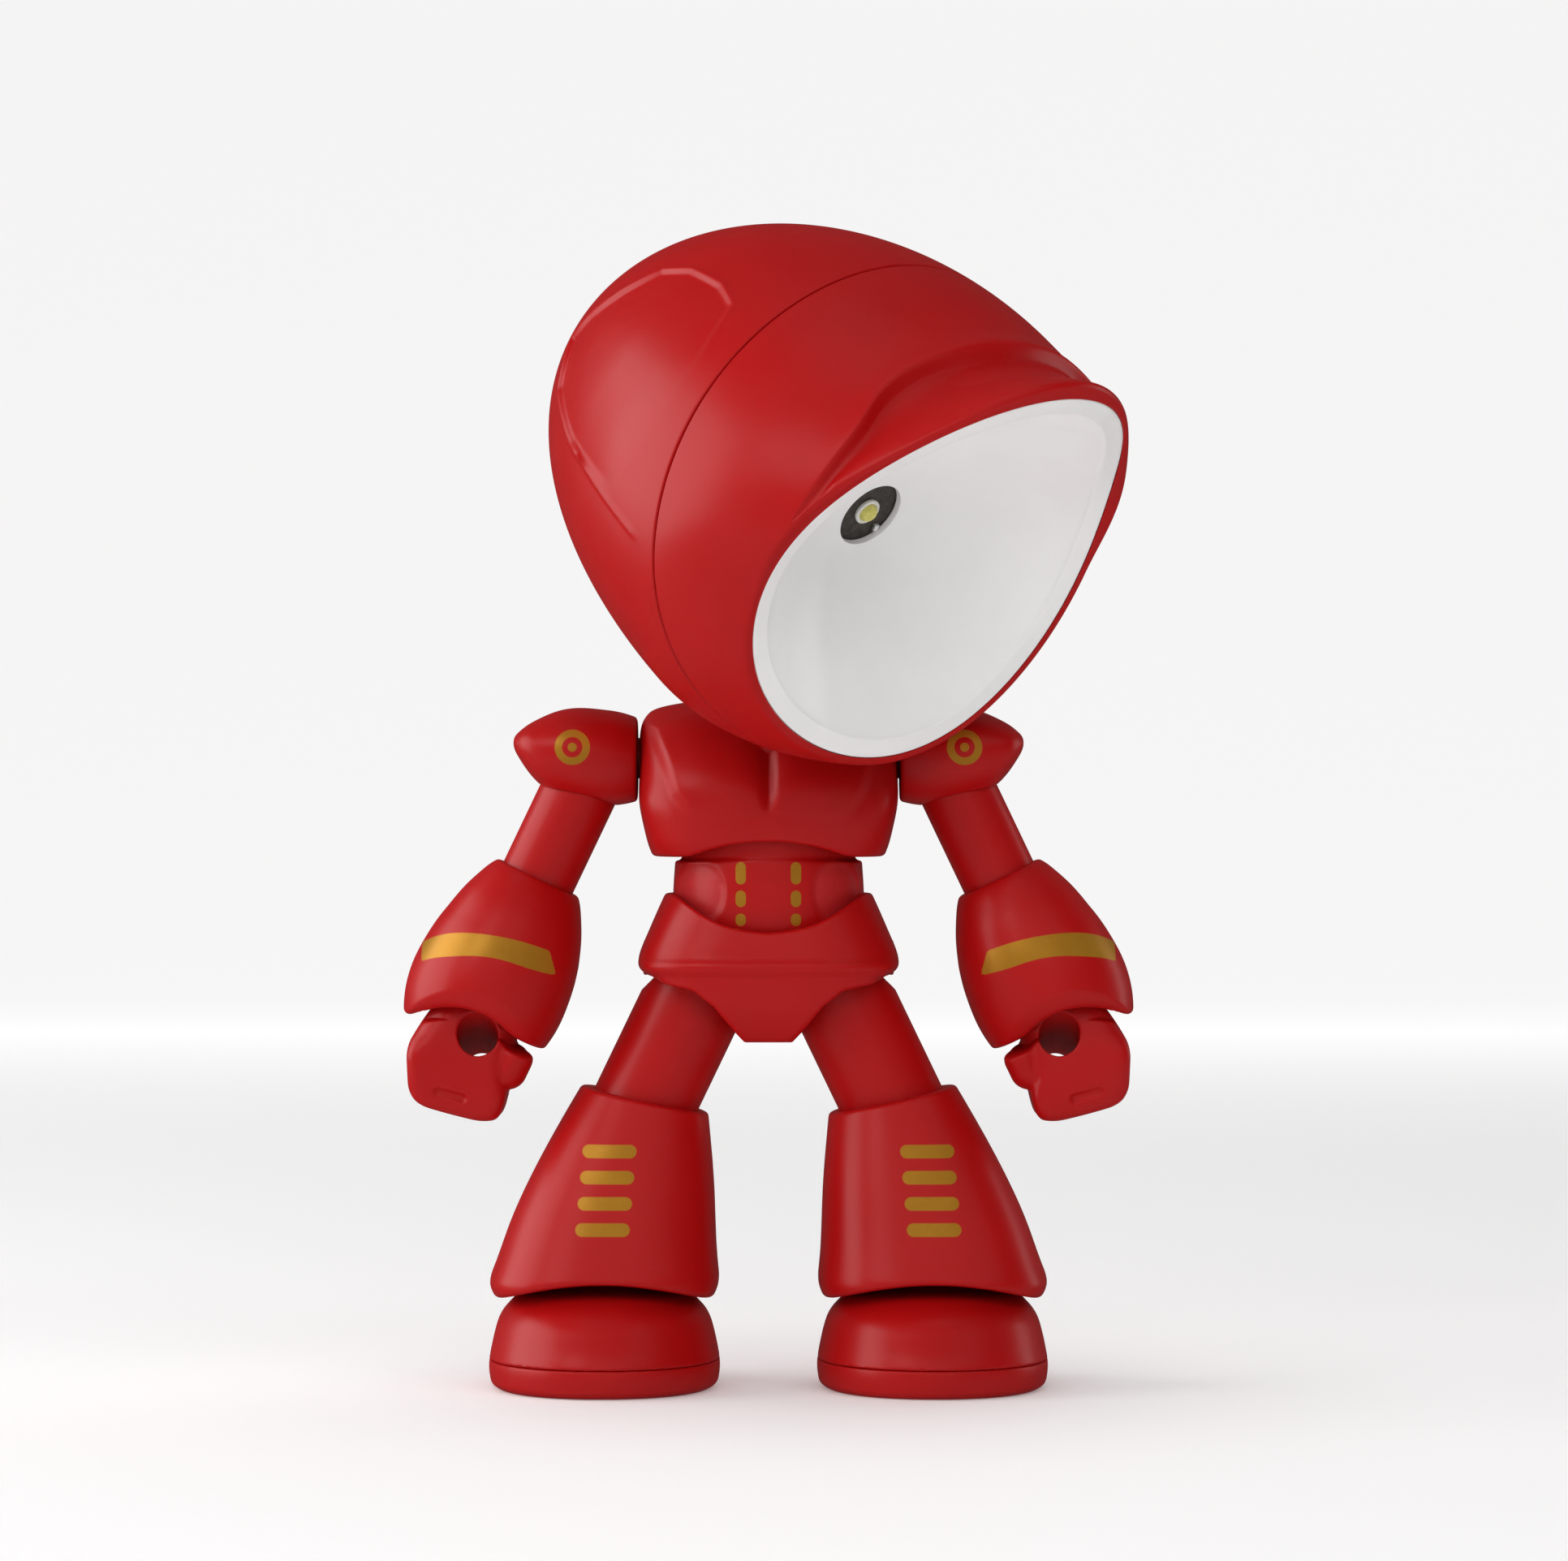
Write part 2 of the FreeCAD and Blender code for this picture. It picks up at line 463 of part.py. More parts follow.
def build_torso():
    solid = loft(chest_wires())
    inset = loft(chest_wires(0.45))
    # lower edge: arched up at the front and back
    R = (9.5 ** 2 + 1.9 ** 2) / (2 * 1.9)
    arch = cyl(R, (0, -30, 66.9 - R), (0, 30, 66.9 - R))
    cav = loft([spanring(-13.2, 13.2, -11.6, 9.6, 3.0, 70.0), spanring(-13.9, 13.9, -11.6, 9.7, 3.2, 74.0),
                spanring(-13.9, 13.9, -9.6, 9.2, 3.2, 78.0), spanring(-12.6, 12.6, -6.8, 7.6, 2.8, 80.8),
                spanring(-9.0, 9.0, -4.4, 5.6, 2.4, 82.0)])
    add, cuts = [cyl(5.4, neck(16.2), neck(7.0))], [
        cyl(4.0, neck(16.4), neck(2.0)), cyl(5.1, neck(19.9), neck(16.0)),
        cyl(WAIST_PIN_R + RUN, (0, 0, 60), (0, 0, 71))]
    for sgn in (-1, 1):
        add.append(cyl(4.4, (sgn * 11.4, 0, SHOULDER_Z), (sgn * 14.6, 0, SHOULDER_Z)))
        add.append(cyl(1.9, (sgn * 7.2, -9.2, 79.2), (sgn * 7.2, 8.6, 79.2)))
        cuts.append(cyl(SHOULDER_PIN_R + RUN, (sgn * 8, 0, SHOULDER_Z), (sgn * 20, 0, SHOULDER_Z)))
        cuts.append(cyl(1.7, (sgn * 7.2, 7.4, 79.2), (sgn * 7.2, 20, 79.2)))
        cuts.append(cyl(0.75, (sgn * 7.2, -6.0, 79.2), (sgn * 7.2, 8, 79.2)))
    for name, y0, y1 in (("chest_front", -30, 0), ("chest_back", 0, 30)):
        side = box(-30, 30, y0, y1, 60, 90)
        half = meet(solid, side)
        body = cut(half, arch, meet(cav, side), cyl(CHEST_BORE_R, (0, 0, 60), (0, 0, 68.4)))
        deep = meet(inset, side)
        body = fuse(body, *[meet(q, deep) for q in add])
        for c in cuts:
            body = cut(body, c)
        out(name, one(body))
    sc = []
    for sgn in (-1, 1):
        x = sgn * 7.2
        sc.append(fuse(cyl(1.5, (x, 7.4, 79.2), (x, 8.6, 79.2)), cyl(0.75, (x, -5.8, 79.2), (x, 7.5, 79.2))))
    out("chest_screws", Part.makeCompound(sc))

    bush = meet(fuse(cyl(4.0, neck(17.6), neck(7.0)), cyl(5.0, neck(17.6), neck(16.02))), solid)
    bush = cut(bush, cyl(POST_R + RUN, neck(22.0), neck(2.0)))
    out("neck_bush", one(bush))
    post = fuse(ball(BALL_R, NECK_BALL), cyl(POST_R, neck(19.0), neck(1.0)), cyl(4.4, neck(19.3), neck(17.7)))
    out("neck_post", one(post))

    pivot = fuse(cyl(WAIST_PIN_R, (0, 0, 66.0), (0, 0, 70.3)), cyl(6.4, (0, 0, 70.1), (0, 0, 71.6)))
    out("waist_pivot", one(pivot))

    abd = loft([spanring(-11.2, 11.2, -10.5, 10.5, 2.2, 54.6), spanring(-11.7, 11.7, -10.9, 10.9, 2.2, 58.0),
                spanring(-11.7, 11.7, -10.9, 10.9, 2.2, 61.5), spanring(-11.5, 11.5, -10.7, 10.7, 2.1, 64.4)])
    abd_outer = abd
    top = cyl(WAIST_R, (0, 0, 64.3), (0, 0, 68.0))
    abd = fuse(abd, top)
    for sgn in (-1, 1):
        abd = cut(abd, ball(THIGH_R + 0.4, (sgn * HIP_X, 0, HIP_Z)))
    abd = cut(abd, cyl(WAIST_PIN_R, (0, 0, 66.0), (0, 0, 70)))
    out("abdomen", one(abd))

    # hip skirt with the crotch piece
    sk = loft([spanring(-14.6, 14.6, -12.2, 11.3, 2.9, 50.3), spanring(-15.6, 15.6, -13.2, 12.1, 3.0, 51.0),
               spanring(-16.0, 16.0, -13.5, 12.4, 3.0, 52.2), spanring(-15.0, 15.0, -13.0, 12.1, 2.8, 55.2),
               spanring(-13.7, 13.7, -12.4, 11.8, 2.6, 58.2), spanring(-12.7, 12.7, -11.9, 11.6, 2.4, 60.4)])
    inner = loft([spanring(-15.0, 15.0, -11.7, 10.6, 3.4, 49.8), spanring(-15.05, 15.05, -11.7, 10.6, 3.4, 52.4),
                  spanring(-12.6, 12.6, -11.0, 10.2, 2.8, 56.0)])
    brief = [(-14.4, 51.5), (-12.6, 49.7), (-9.1, 48.7), (-6.6, 46.8), (-4.1, 43.7), (-2.9, 42.4),
             (2.9, 42.4), (4.1, 43.7), (6.6, 46.8), (9.1, 48.7), (12.6, 49.7), (14.4, 51.5)]
    crotch = prism_xz(brief, -16.0, 16.0)
    crotch = meet(crotch, loft([spanring(-15.2, 15.2, -9.4, 8.6, 2.8, 42.0), spanring(-15.6, 15.6, -11.6, 10.4, 2.9, 45.0),
                                spanring(-15.85, 15.85, -12.9, 11.7, 2.95, 48.6), spanring(-15.85, 15.85, -13.35, 12.25, 3.0, 52.3)]))
    belt = [(-13.2, 61.5), (-13.2, 60.6), (-11.9, 60.5), (-10.2, 59.5), (-7.8, 57.9), (-5.2, 56.7), (-2.0, 56.0), (0, 55.8),
            (2.0, 56.0), (5.2, 56.7), (7.8, 57.9), (10.2, 59.5), (11.9, 60.5), (13.2, 60.6), (13.2, 61.5)]
    # relief for the thighs at every angle they reach
    clear = []
    steps = [-HIP_CUT + 2 * HIP_CUT * k / 6.0 for k in range(7)]
    for sgn in (-1, 1):
        clear.append(ball(THIGH_R + 0.4, (sgn * HIP_X, 0, HIP_Z)))
        for a in steps:
            dx, dz = sgn * sin(rad(LEG_LEAN)), -cos(rad(LEG_LEAN))
            dy, dz2 = -dz * sin(rad(a)), dz * cos(rad(a))
            clear.append(cyl(THIGH_R + 0.4, (sgn * HIP_X, 0, HIP_Z), (sgn * HIP_X + 26 * dx, 26 * dy, HIP_Z + 26 * dz2)))
    for name, y0, y1 in (("pelvis_front", -30, 0), ("pelvis_back", 0, 30)):
        side = box(-30, 30, y0, y1, 30, 80)
        body = fuse(cut(meet(sk, side), meet(inner, side)), meet(crotch, side))
        body = cut(body, meet(abd_outer, side))
        if y0 < 0:
            body = cut(body, prism_xz(belt, -20, -5))
        for c in clear:
            body = cut(body, c)
        body = one(body)
        for sgn in (-1, 1):
            body = fuse(body, meet(cyl(3.0, (sgn * 13.5, 0, HIP_Z), (sgn * 15.4, 0, HIP_Z)), side))
        body = cut(body, cyl(HIP_AXLE_R, (-15.0, 0, HIP_Z), (15.0, 0, HIP_Z)))
        out(name, one(body))
    out("hip_axle", cyl(HIP_AXLE_R, (-15.0, 0, HIP_Z), (15.0, 0, HIP_Z)))

# -------------------------------------------------------------------------------- the arm
AD = (-sin(rad(ARM_LEAN)), 0.0, -cos(rad(ARM_LEAN)))      # down the arm
AN = (cos(rad(ARM_LEAN)), 0.0, -sin(rad(ARM_LEAN)))       # towards the body

def ap(t, n=0.0, y=0.0):
    return (ARM_P[0] + AD[0] * t + AN[0] * n, ARM_P[1] + y, ARM_P[2] + AD[2] * t + AN[2] * n)

def arm_frame(shape):
    """shape drawn with z = t down the arm, x = n towards the body, y = y"""
    m = Matrix(AN[0], 0, AD[0], ARM_P[0], 0, 1, 0, ARM_P[1], AN[2], 0, AD[2], ARM_P[2], 0, 0, 0, 1)
    s = shape.transformGeometry(m)
    return s

def mirror_y_fix(shape):
    return shape

def gauntlet_ring(t, r, off=0.0, N=32):
    pts = []
    for i in range(N):
        a = 2 * pi * i / N
        pts.append(((r - off) * cos(a) + 0.35 * min(1, max(0, (t - 10) / 8.0)), (r - off) * sin(a), t))
    return closed(pts)

def build_arm():
    sx = -16.15
    rings = [(-16.15, 71.7, 82.0, 6.2), (-18.0, 71.3, 82.6, 6.9), (-20.5, 71.2, 83.0, 7.5), (-23.2, 71.6, 83.2, 7.8),
             (-26.0, 72.5, 82.8, 7.6), (-28.4, 74.0, 81.8, 6.8), (-30.2, 76.2, 80.7, 5.4), (-31.3, 78.0, 79.7, 3.4)]
    ws = []
    for x, z0, z1, yh in rings:
        pts = []
        zc, zh = (z0 + z1) / 2, (z1 - z0) / 2
        for i in range(28):
            t = 2 * pi * i / 28
            c, s = cos(t), sin(t)
            pts.append((x, yh * math.copysign(abs(c) ** 0.9, c), zc + zh * math.copysign(abs(s) ** 0.9, s)))
        ws.append(closed(pts))
    pad = loft(ws)
    seat = cyl(ARM_R, ap(-6.5), ap(6))
    pad = cut(pad, cyl(ARM_R, ap(-4.0), ap(14)))
    pad = one(cut(pad, cyl(SHOULDER_PIN_R, (-21.0, 0, SHOULDER_Z), (-10, 0, SHOULDER_Z))))
    out("shoulder_pad_r", pad); out("shoulder_pad_l", mirror(pad))
    pin = one(cut(fuse(cyl(SHOULDER_PIN_R, (-21.0, 0, SHOULDER_Z), (-10.0, 0, SHOULDER_Z)), cyl(4.0, (-11.2, 0,
            SHOULDER_Z), (-9.8, 0, SHOULDER_Z))), cyl(ARM_R, ap(-4.0), ap(14))))
    out("shoulder_pin_r", pin); out("shoulder_pin_l", mirror(pin))
    arm = one(cut(cyl(ARM_R, ap(-4.0), ap(12.8)), cyl(0.9, ap(7), ap(14))))
    out("upper_arm_r", arm); out("upper_arm_l", mirror(arm))
    es = one(fuse(cyl(2.2, ap(12.8), ap(19.8)), cyl(3.7, ap(19.7), ap(21.0)), cyl(0.9, ap(7.2), ap(13))))
    out("elbow_screw_r", es); out("elbow_screw_l", mirror(es))

    prof = [(10.2, 5.45), (10.8, 5.9), (12.4, 6.8), (14.6, 7.8), (17.0, 8.6), (20.0, 9.35), (23.0, 9.75), (25.7, 9.85),
            (28.0, 9.55), (30.0, 8.95), (31.2, 8.35)]
    g = loft([gauntlet_ring(t, r) for t, r in prof])
    g = cut(g, Part.makeCylinder(ARM_R + 0.1, 3.0, V(0, 0, 10.0)))
    g = cut(g, Part.makeCylinder(2.2 + RUN, 10.0, V(0, 0, 12.0)))
    g = cut(g, Part.makeCylinder(3.9, 3, V(0, 0, 19.6)))
    g = cut(g, Part.makeCylinder(7.3, 20, V(0, 0, 21.2)))
    arch = Part.makeCylinder(ARCH_R, 60, V(1.0, -30, ARCH_T + ARCH_R), V(0, 1, 0))
    g = cut(g, arch, box(5.0, 14.0, -14, 14, 29.0, 34.0))
    g = one(arm_frame(g))
    out("gauntlet_r", g); out("gauntlet_l", mirror(g))

    # clevis plug in the cuff, with the wrist pin
    plug = Part.makeCylinder(7.3, 1.0, V(0, 0, 21.2))
    ears = fuse(box(-4.6, 4.6, -1.8, 1.8, 21.5, WRIST_T), cyl(1.8, (-4.6, 0, WRIST_T), (4.6, 0, WRIST_T)))
    plug = cut(fuse(plug, ears), box(-2.7, 2.7, -4, 4, WRIST_T - 2.2, 30), Part.makeCylinder(3.0, 0.35, V(0, 0, 21.1)))
    plug = cut(plug, cyl(0.8, (-4.6, 0, WRIST_T), (4.6, 0, WRIST_T)))
    plug = one(arm_frame(plug))
    out("wrist_clevis_r", plug); out("wrist_clevis_l", mirror(plug))
    wp = arm_frame(cyl(0.8, (-4.6, 0, WRIST_T), (4.6, 0, WRIST_T)))
    out("wrist_pin_r", one(wp)); out("wrist_pin_l", mirror(one(wp)))

    # fist
    body = prism_fist()
    knuckle = fuse(cyl(1.7, (-2.5, 0, WRIST_T), (2.5, 0, WRIST_T)), box(-2.5, 2.5, -1.7, 1.7, WRIST_T, 27.5))
    thumb = fuse(cyl(2.4, (6.9, -3.0, 31.4), (6.9, -2.9, 33.0)), ball(2.4, (6.9, -3.0, 31.4)), ball(2.4, (6.9,
            -2.9, 33.0)))
    f = fuse(body, knuckle, thumb)
    for a in (-WRIST_SWING, -WRIST_SWING / 2, 0.0, WRIST_SWING / 2, WRIST_SWING):
        ring = Part.makeCylinder(13.0, 9.2, V(0, 0, 22.4)).cut(Part.makeCylinder(6.95, 9.2, V(0, 0, 22.4)))
        ring.rotate(V(0, 0, WRIST_T), V(1, 0, 0), a)
        f = cut(f, ring)
    f = cut(one(f), cyl(0.8 + RUN, (-6, 0, WRIST_T), (6, 0, WRIST_T)))
    f = one(arm_frame(f))
    # grip hole, level with the floor and dipping a little to the back
    c = V(*ap(GRIP_C[1], GRIP_C[0]))
    hd = V(0, cos(rad(GRIP_DIP)), -sin(rad(GRIP_DIP)))
    f = one(cut(f, Part.makeCylinder(FIST_BORE_R, 30, c - hd * 15, hd)))
    out("fist_r", f); out("fist_l", mirror(f))

def prism_fist():
    # outline across n (x) and t (z), extruded in y, then trimmed to a rounded block
    pts = [(-4.2, 25.6), (-4.6, 27.5), (-5.2, 30.0), (-5.6, 32.0), (-5.6, 35.6), (-2.9, 40.8), (-1.0, 41.9), (7.2, 40.0), (8.6, 38.8),
           (8.9, 36.8), (8.2, 34.4), (7.5, 32.5), (7.0, 30.0), (6.0, 27.8), (4.8, 26.4), (4.2, 25.6)]
    p = prism_xz(pts, -5.8, 5.8)
    side = prism_yz([(-4.3, 25.6), (-4.7, 27.6), (-5.7, 30.5), (-5.8, 38.2), (-4.4, 42.0), (4.0, 42.0), (5.6, 38.5), (5.7, 30.5),
                     (4.7, 27.6), (4.3, 25.6)], -20, 20)
    return meet(p, side)

# -------------------------------------------------------------------------------- the leg
LD = (-sin(rad(LEG_LEAN)), 0.0, -cos(rad(LEG_LEAN)))
def lp(t):
    return (-HIP_X + LD[0] * t, 0.0, HIP_Z + LD[2] * t)

def boot_wires(off=0.0):
    rows = [(10.9, -33.4, -6.8, -14.5, 11.2, 2.7), (12.4, -34.1, -6.2, -15.0, 11.6, 2.7), (14.9, -33.6, -6.2, -14.5, 11.3, 2.7),
            (19.9, -31.8, -6.5, -12.9, 10.5, 2.6), (24.9, -29.6, -6.7, -11.4, 9.7, 2.5), (29.9, -27.0, -7.1, -9.8, 8.9, 2.4)]
    ws = []
    for z, x0, x1, y0, y1, n in rows:
        ws.append(spanring(x0 + off, x1 - off, y0 + off, y1 - off, n, z))
    return ws

def build_leg():
    top = spanring(-24.0, -7.6, -8.1, 8.1, 2.3, 35.15, tilt=-3.5 / 15.8)
    boot = loft(boot_wires() + [top])
    cav = loft([spanring(-31.6, -8.6, -12.7, 9.4, 2.7, 9.0), spanring(-31.6, -8.6, -12.7, 9.4, 2.7, 14.5),
                spanring(-29.6, -8.6, -10.9, 8.6, 2.6, 19.9), spanring(-27.2, -8.9, -9.2, 7.6, 2.5, 24.5)])
    arch = cyl(BOOT_ARCH_R, (-20.1, -40, BOOT_ARCH_Z - BOOT_ARCH_R), (-20.1, 40, BOOT_ARCH_Z - BOOT_ARCH_R))
    boot = cut(boot, cav, arch)
    boot = cut(boot, cyl(THIGH_R, lp(10), lp(20.5)), cyl(3.2, lp(18), lp(27)))
    boot = one(boot)
    out("boot_r", boot); out("boot_l", mirror(boot))
    th = fuse(ball(THIGH_R, lp(0)), cyl(THIGH_R, lp(0), lp(20.5)), cyl(3.2, lp(20), lp(27)))
    th = cut(th, cyl(3.4, (-30, 0, HIP_Z), (-13.3, 0, HIP_Z)), box(-0.6, 10, -10, 10, 45, 60))
    th = cut(th, cyl(HIP_AXLE_R + RUN, (-20, 0, HIP_Z), (0, 0, HIP_Z)))
    th = one(th)
    out("thigh_r", th); out("thigh_l", mirror(th))
    # ankle socket hangs inside the boot
    A = (-FOOT_X, 0.0, ANKLE_Z)
    post = fuse(cyl(5.6, A, (-FOOT_X, 0, 30)), ball(5.6, A))
    sock = cut(post, ball(ANKLE_BALL_R + RUN, A), box(-40, 0, -20, 20, 0, ANKLE_Z - 2.0))
    sock = cut(sock, boot, cyl(3.2, lp(18), lp(27)))
    sock = one(sock)
    out("ankle_socket_r", sock); out("ankle_socket_l", mirror(sock))
    # foot
    rows = [(0.0, 12.9, -18.3, 12.8, 2.15), (0.35, 13.5, -19.0, 13.5, 2.15), (1.2, 14.0, -19.6, 14.1, 2.15), (2.6, 14.15, -19.8, 14.3, 2.15),
            (3.5, 14.1, -19.7, 14.2, 2.15), (5.0, 13.85, -19.2, 13.9, 2.15), (7.4, 13.1, -17.8, 12.8, 2.12), (9.6, 11.8, -15.5, 11.1, 2.1),
            (11.0, 10.3, -12.8, 9.2, 2.05), (12.0, 8.2, -9.7, 7.0, 2.0), (12.5, 5.8, -6.4, 4.9, 2.0)]
    foot = loft([spanring(-FOOT_X - a, -FOOT_X + a, y0, y1, n, z) for z, a, y0, y1, n in rows])
    cav = loft([spanring(-FOOT_X - 12.2, -FOOT_X + 12.2, -17.8, 12.3, 2.4, 3.4), spanring(-FOOT_X - 11.4, -FOOT_X + 11.4, -16.2, 11.3, 2.3, 7.0),
                spanring(-FOOT_X - 9.2, -FOOT_X + 9.2, -12.2, 8.8, 2.2, 10.0)])
    sole = one(meet(foot, box(-60, 0, -40, 40, -1, SOLE_T)))
    upper = cut(meet(foot, box(-60, 0, -40, 40, SOLE_T, 20)), cav)
    boss = cyl(3.2, (-FOOT_X, -9.0, SOLE_T), (-FOOT_X, -9.0, 10.0))
    core = cyl(3.4, (-FOOT_X, 0, SOLE_T), (-FOOT_X, 0, 11.0))
    upper = fuse(upper, meet(boss, foot), core, cyl(2.3, (-FOOT_X, 0, 10), A), ball(ANKLE_BALL_R, A))
    upper = one(cut(upper, cyl(0.9, (-FOOT_X, -9.0, 0), (-FOOT_X, -9.0, 8.5))))
    sole = cut(sole, cyl(0.9, (-FOOT_X, -9.0, -1), (-FOOT_X, -9.0, 8.5)), cyl(2.1, (-FOOT_X, -9.0, -1),
            (-FOOT_X, -9.0, 1.6)))
    sole = one(sole)
    out("foot_r", upper); out("foot_l", mirror(upper))
    out("sole_r", sole); out("sole_l", mirror(sole))
    fs = one(fuse(cyl(1.9, (-FOOT_X, -9.0, 0.5), (-FOOT_X, -9.0, 1.6)), cyl(0.9, (-FOOT_X, -9.0, 1.5), (-FOOT_X, -9.0, 8.3))))
    out("sole_screw_r", fs)
    out("sole_screw_l", mirror(fs))

build_head()
build_torso()
build_arm()
build_leg()

bb = Part.makeCompound(list(NODES.values())).BoundBox
print("nodes", len(NODES), "box x %.2f %.2f y %.2f %.2f z %.2f %.2f" % (bb.XMin, bb.XMax, bb.YMin, bb.YMax, bb.ZMin, bb.ZMax))
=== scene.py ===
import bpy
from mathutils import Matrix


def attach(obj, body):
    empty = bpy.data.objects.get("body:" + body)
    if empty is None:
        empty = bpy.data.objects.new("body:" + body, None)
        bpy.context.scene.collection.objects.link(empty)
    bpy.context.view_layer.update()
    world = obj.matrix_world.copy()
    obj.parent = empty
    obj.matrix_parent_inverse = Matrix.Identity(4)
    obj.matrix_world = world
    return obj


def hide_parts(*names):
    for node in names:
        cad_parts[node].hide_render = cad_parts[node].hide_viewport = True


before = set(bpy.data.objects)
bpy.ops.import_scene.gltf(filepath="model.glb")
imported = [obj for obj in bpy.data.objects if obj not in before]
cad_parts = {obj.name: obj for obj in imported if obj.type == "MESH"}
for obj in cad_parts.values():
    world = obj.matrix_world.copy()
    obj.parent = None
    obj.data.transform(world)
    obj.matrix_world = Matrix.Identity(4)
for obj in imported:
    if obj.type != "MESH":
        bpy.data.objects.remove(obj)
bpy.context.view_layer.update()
import math
import bpy
import numpy as np
import openvdb
from mathutils import Matrix, Vector

# Looks of a jointed figure night light: glossy red moulded plastic, gold printed marks, pale bowl lamp.
# Shapes are worked out in millimetres about the figure's own centre line; DY moves them to the row frame.
DY = 22.36
rad = math.radians
sin, cos, pi = math.sin, math.cos, math.pi

# ------------------------------------------------------------------------------ curves and fields
def spline(xs, ys):
    """natural cubic spline, held flat beyond its ends"""
    xs, ys = np.array(xs, float), np.array(ys, float)
    n, h = len(xs), np.diff(xs)
    A, r = np.eye(n), np.zeros(n)
    for i in range(1, n - 1):
        A[i, i - 1], A[i, i], A[i, i + 1] = h[i - 1], 2 * (h[i - 1] + h[i]), h[i]
        r[i] = 6 * ((ys[i + 1] - ys[i]) / h[i] - (ys[i] - ys[i - 1]) / h[i - 1])
    m = np.linalg.solve(A, r)

    def f(x):
        xc = np.clip(np.asarray(x, float), xs[0], xs[-1])
        i = np.clip(np.searchsorted(xs, xc) - 1, 0, n - 2)
        a, b = (xs[i + 1] - xc) / h[i], (xc - xs[i]) / h[i]
        return a * ys[i] + b * ys[i + 1] + ((a ** 3 - a) * m[i] + (b ** 3 - b) * m[i + 1]) * h[i] ** 2 / 6
    return f

def smax(a, b, k):
    h = np.clip(0.5 + 0.5 * (a - b) / k, 0, 1)
    return b + (a - b) * h + k * h * (1 - h)

def smin(a, b, k):
    return -smax(-a, -b, k)

def step(x, a, b):
    t = np.clip((x - a) / (b - a), 0, 1)
    return t * t * (3 - 2 * t)

def stack(rows):
    """field of a solid whose superellipse section changes along the third coordinate.
    rows: (w, u0, u1, v0, v1, n)"""
    w = [r[0] for r in rows]
    u0, u1, v0, v1, nn = (spline(w, [r[i] for r in rows]) for i in range(1, 6))

    def f(u, v, w, grow=0.0):
        a0, a1, b0, b1, n = u0(w), u1(w), v0(w), v1(w), nn(w)
        a, b = (a1 - a0) / 2 + grow, (b1 - b0) / 2 + grow
        p, q = np.abs(u - (a0 + a1) / 2) / a, np.abs(v - (b0 + b1) / 2) / b
        return ((p ** n + q ** n + 1e-12) ** (1 / n) - 1) * np.minimum(a, b)
    return f

def cylinder(x, y, z, r, p, q, k=0.05):
    """field of a finite cylinder from p to q"""
    p, q = np.array(p, float), np.array(q, float)
    L = np.linalg.norm(q - p)
    d = (q - p) / L
    t = (x - p[0]) * d[0] + (y - p[1]) * d[1] + (z - p[2]) * d[2]
    ex, ey, ez = x - p[0] - t * d[0], y - p[1] - t * d[1], z - p[2] - t * d[2]
    return smax(np.sqrt(ex * ex + ey * ey + ez * ez) - r, np.abs(t - L / 2) - L / 2, k)

def capsule(x, y, z, r, p, q):
    p, q = np.array(p, float), np.array(q, float)
    d = q - p
    t = np.clip(((x - p[0]) * d[0] + (y - p[1]) * d[1] + (z - p[2]) * d[2]) / (d @ d), 0, 1)
    return np.sqrt((x - p[0] - t * d[0]) ** 2 + (y - p[1] - t * d[1]) ** 2 + (z - p[2] - t * d[2]) ** 2) - r

def ball(x, y, z, r, c):
    return np.sqrt((x - c[0]) ** 2 + (y - c[1]) ** 2 + (z - c[2]) ** 2) - r

def polygon(points, u, v):
    """signed distance to a polygon in the plane, negative inside"""
    P = np.array(points, float)
    u, v = np.broadcast_arrays(np.asarray(u, float), np.asarray(v, float))
    d = np.full(u.shape, 1e9)
    inside = np.zeros(u.shape, bool)
    for (ax, ay), (bx, by) in zip(P, np.roll(P, -1, axis=0)):
        ex, ey, wx, wy = bx - ax, by - ay, u - ax, v - ay
        t = np.clip((wx * ex + wy * ey) / (ex * ex + ey * ey), 0, 1)
        d = np.minimum(d, (wx - ex * t) ** 2 + (wy - ey * t) ** 2)
        cross = (ay > v) != (by > v)
        with np.errstate(divide="ignore", invalid="ignore"):
            inside ^= cross & (u < ex * (v - ay) / (ey if ey else 1e-9) + ax)
    return np.where(inside, -1, 1) * np.sqrt(d)

# ------------------------------------------------------------------------------ meshes
def mesh_object(name, verts, faces, keep_sides=False):
    """verts in mm, faces as an array of quads or a list of arrays"""
    me = bpy.data.meshes.new(name)
    groups = faces if isinstance(faces, list) else [faces]
    loops = np.concatenate([np.asarray(g).reshape(-1) for g in groups]).astype(np.int32)
    sizes = np.concatenate([np.full(len(g), np.asarray(g).shape[1]) for g in groups]).astype(np.int32)
    starts = np.concatenate([[0], np.cumsum(sizes)[:-1]]).astype(np.int32)
    v = np.array(verts, float) * 0.001
    v[:, 1] += DY * 0.001
    me.vertices.add(len(v))
    me.vertices.foreach_set("co", v.astype(np.float32).ravel())
    me.loops.add(len(loops))
    me.loops.foreach_set("vertex_index", loops)
    me.polygons.add(len(sizes))
    me.polygons.foreach_set("loop_start", starts)
    me.polygons.foreach_set("loop_total", sizes)
    me.update(calc_edges=True)
    me.validate()
    me.polygons.foreach_set("use_smooth", np.ones(len(me.polygons), bool))
    o = bpy.data.objects.new(name, me)
    bpy.context.scene.collection.objects.link(o)
    return o

def volume_of(v, q):
    t = np.concatenate([q[:, [0, 1, 2]], q[:, [0, 2, 3]]]) if q.shape[1] == 4 else q
    a, b, c = v[t[:, 0]], v[t[:, 1]], v[t[:, 2]]
    return np.einsum("ij,ij->i", a, np.cross(b, c)).sum() / 6

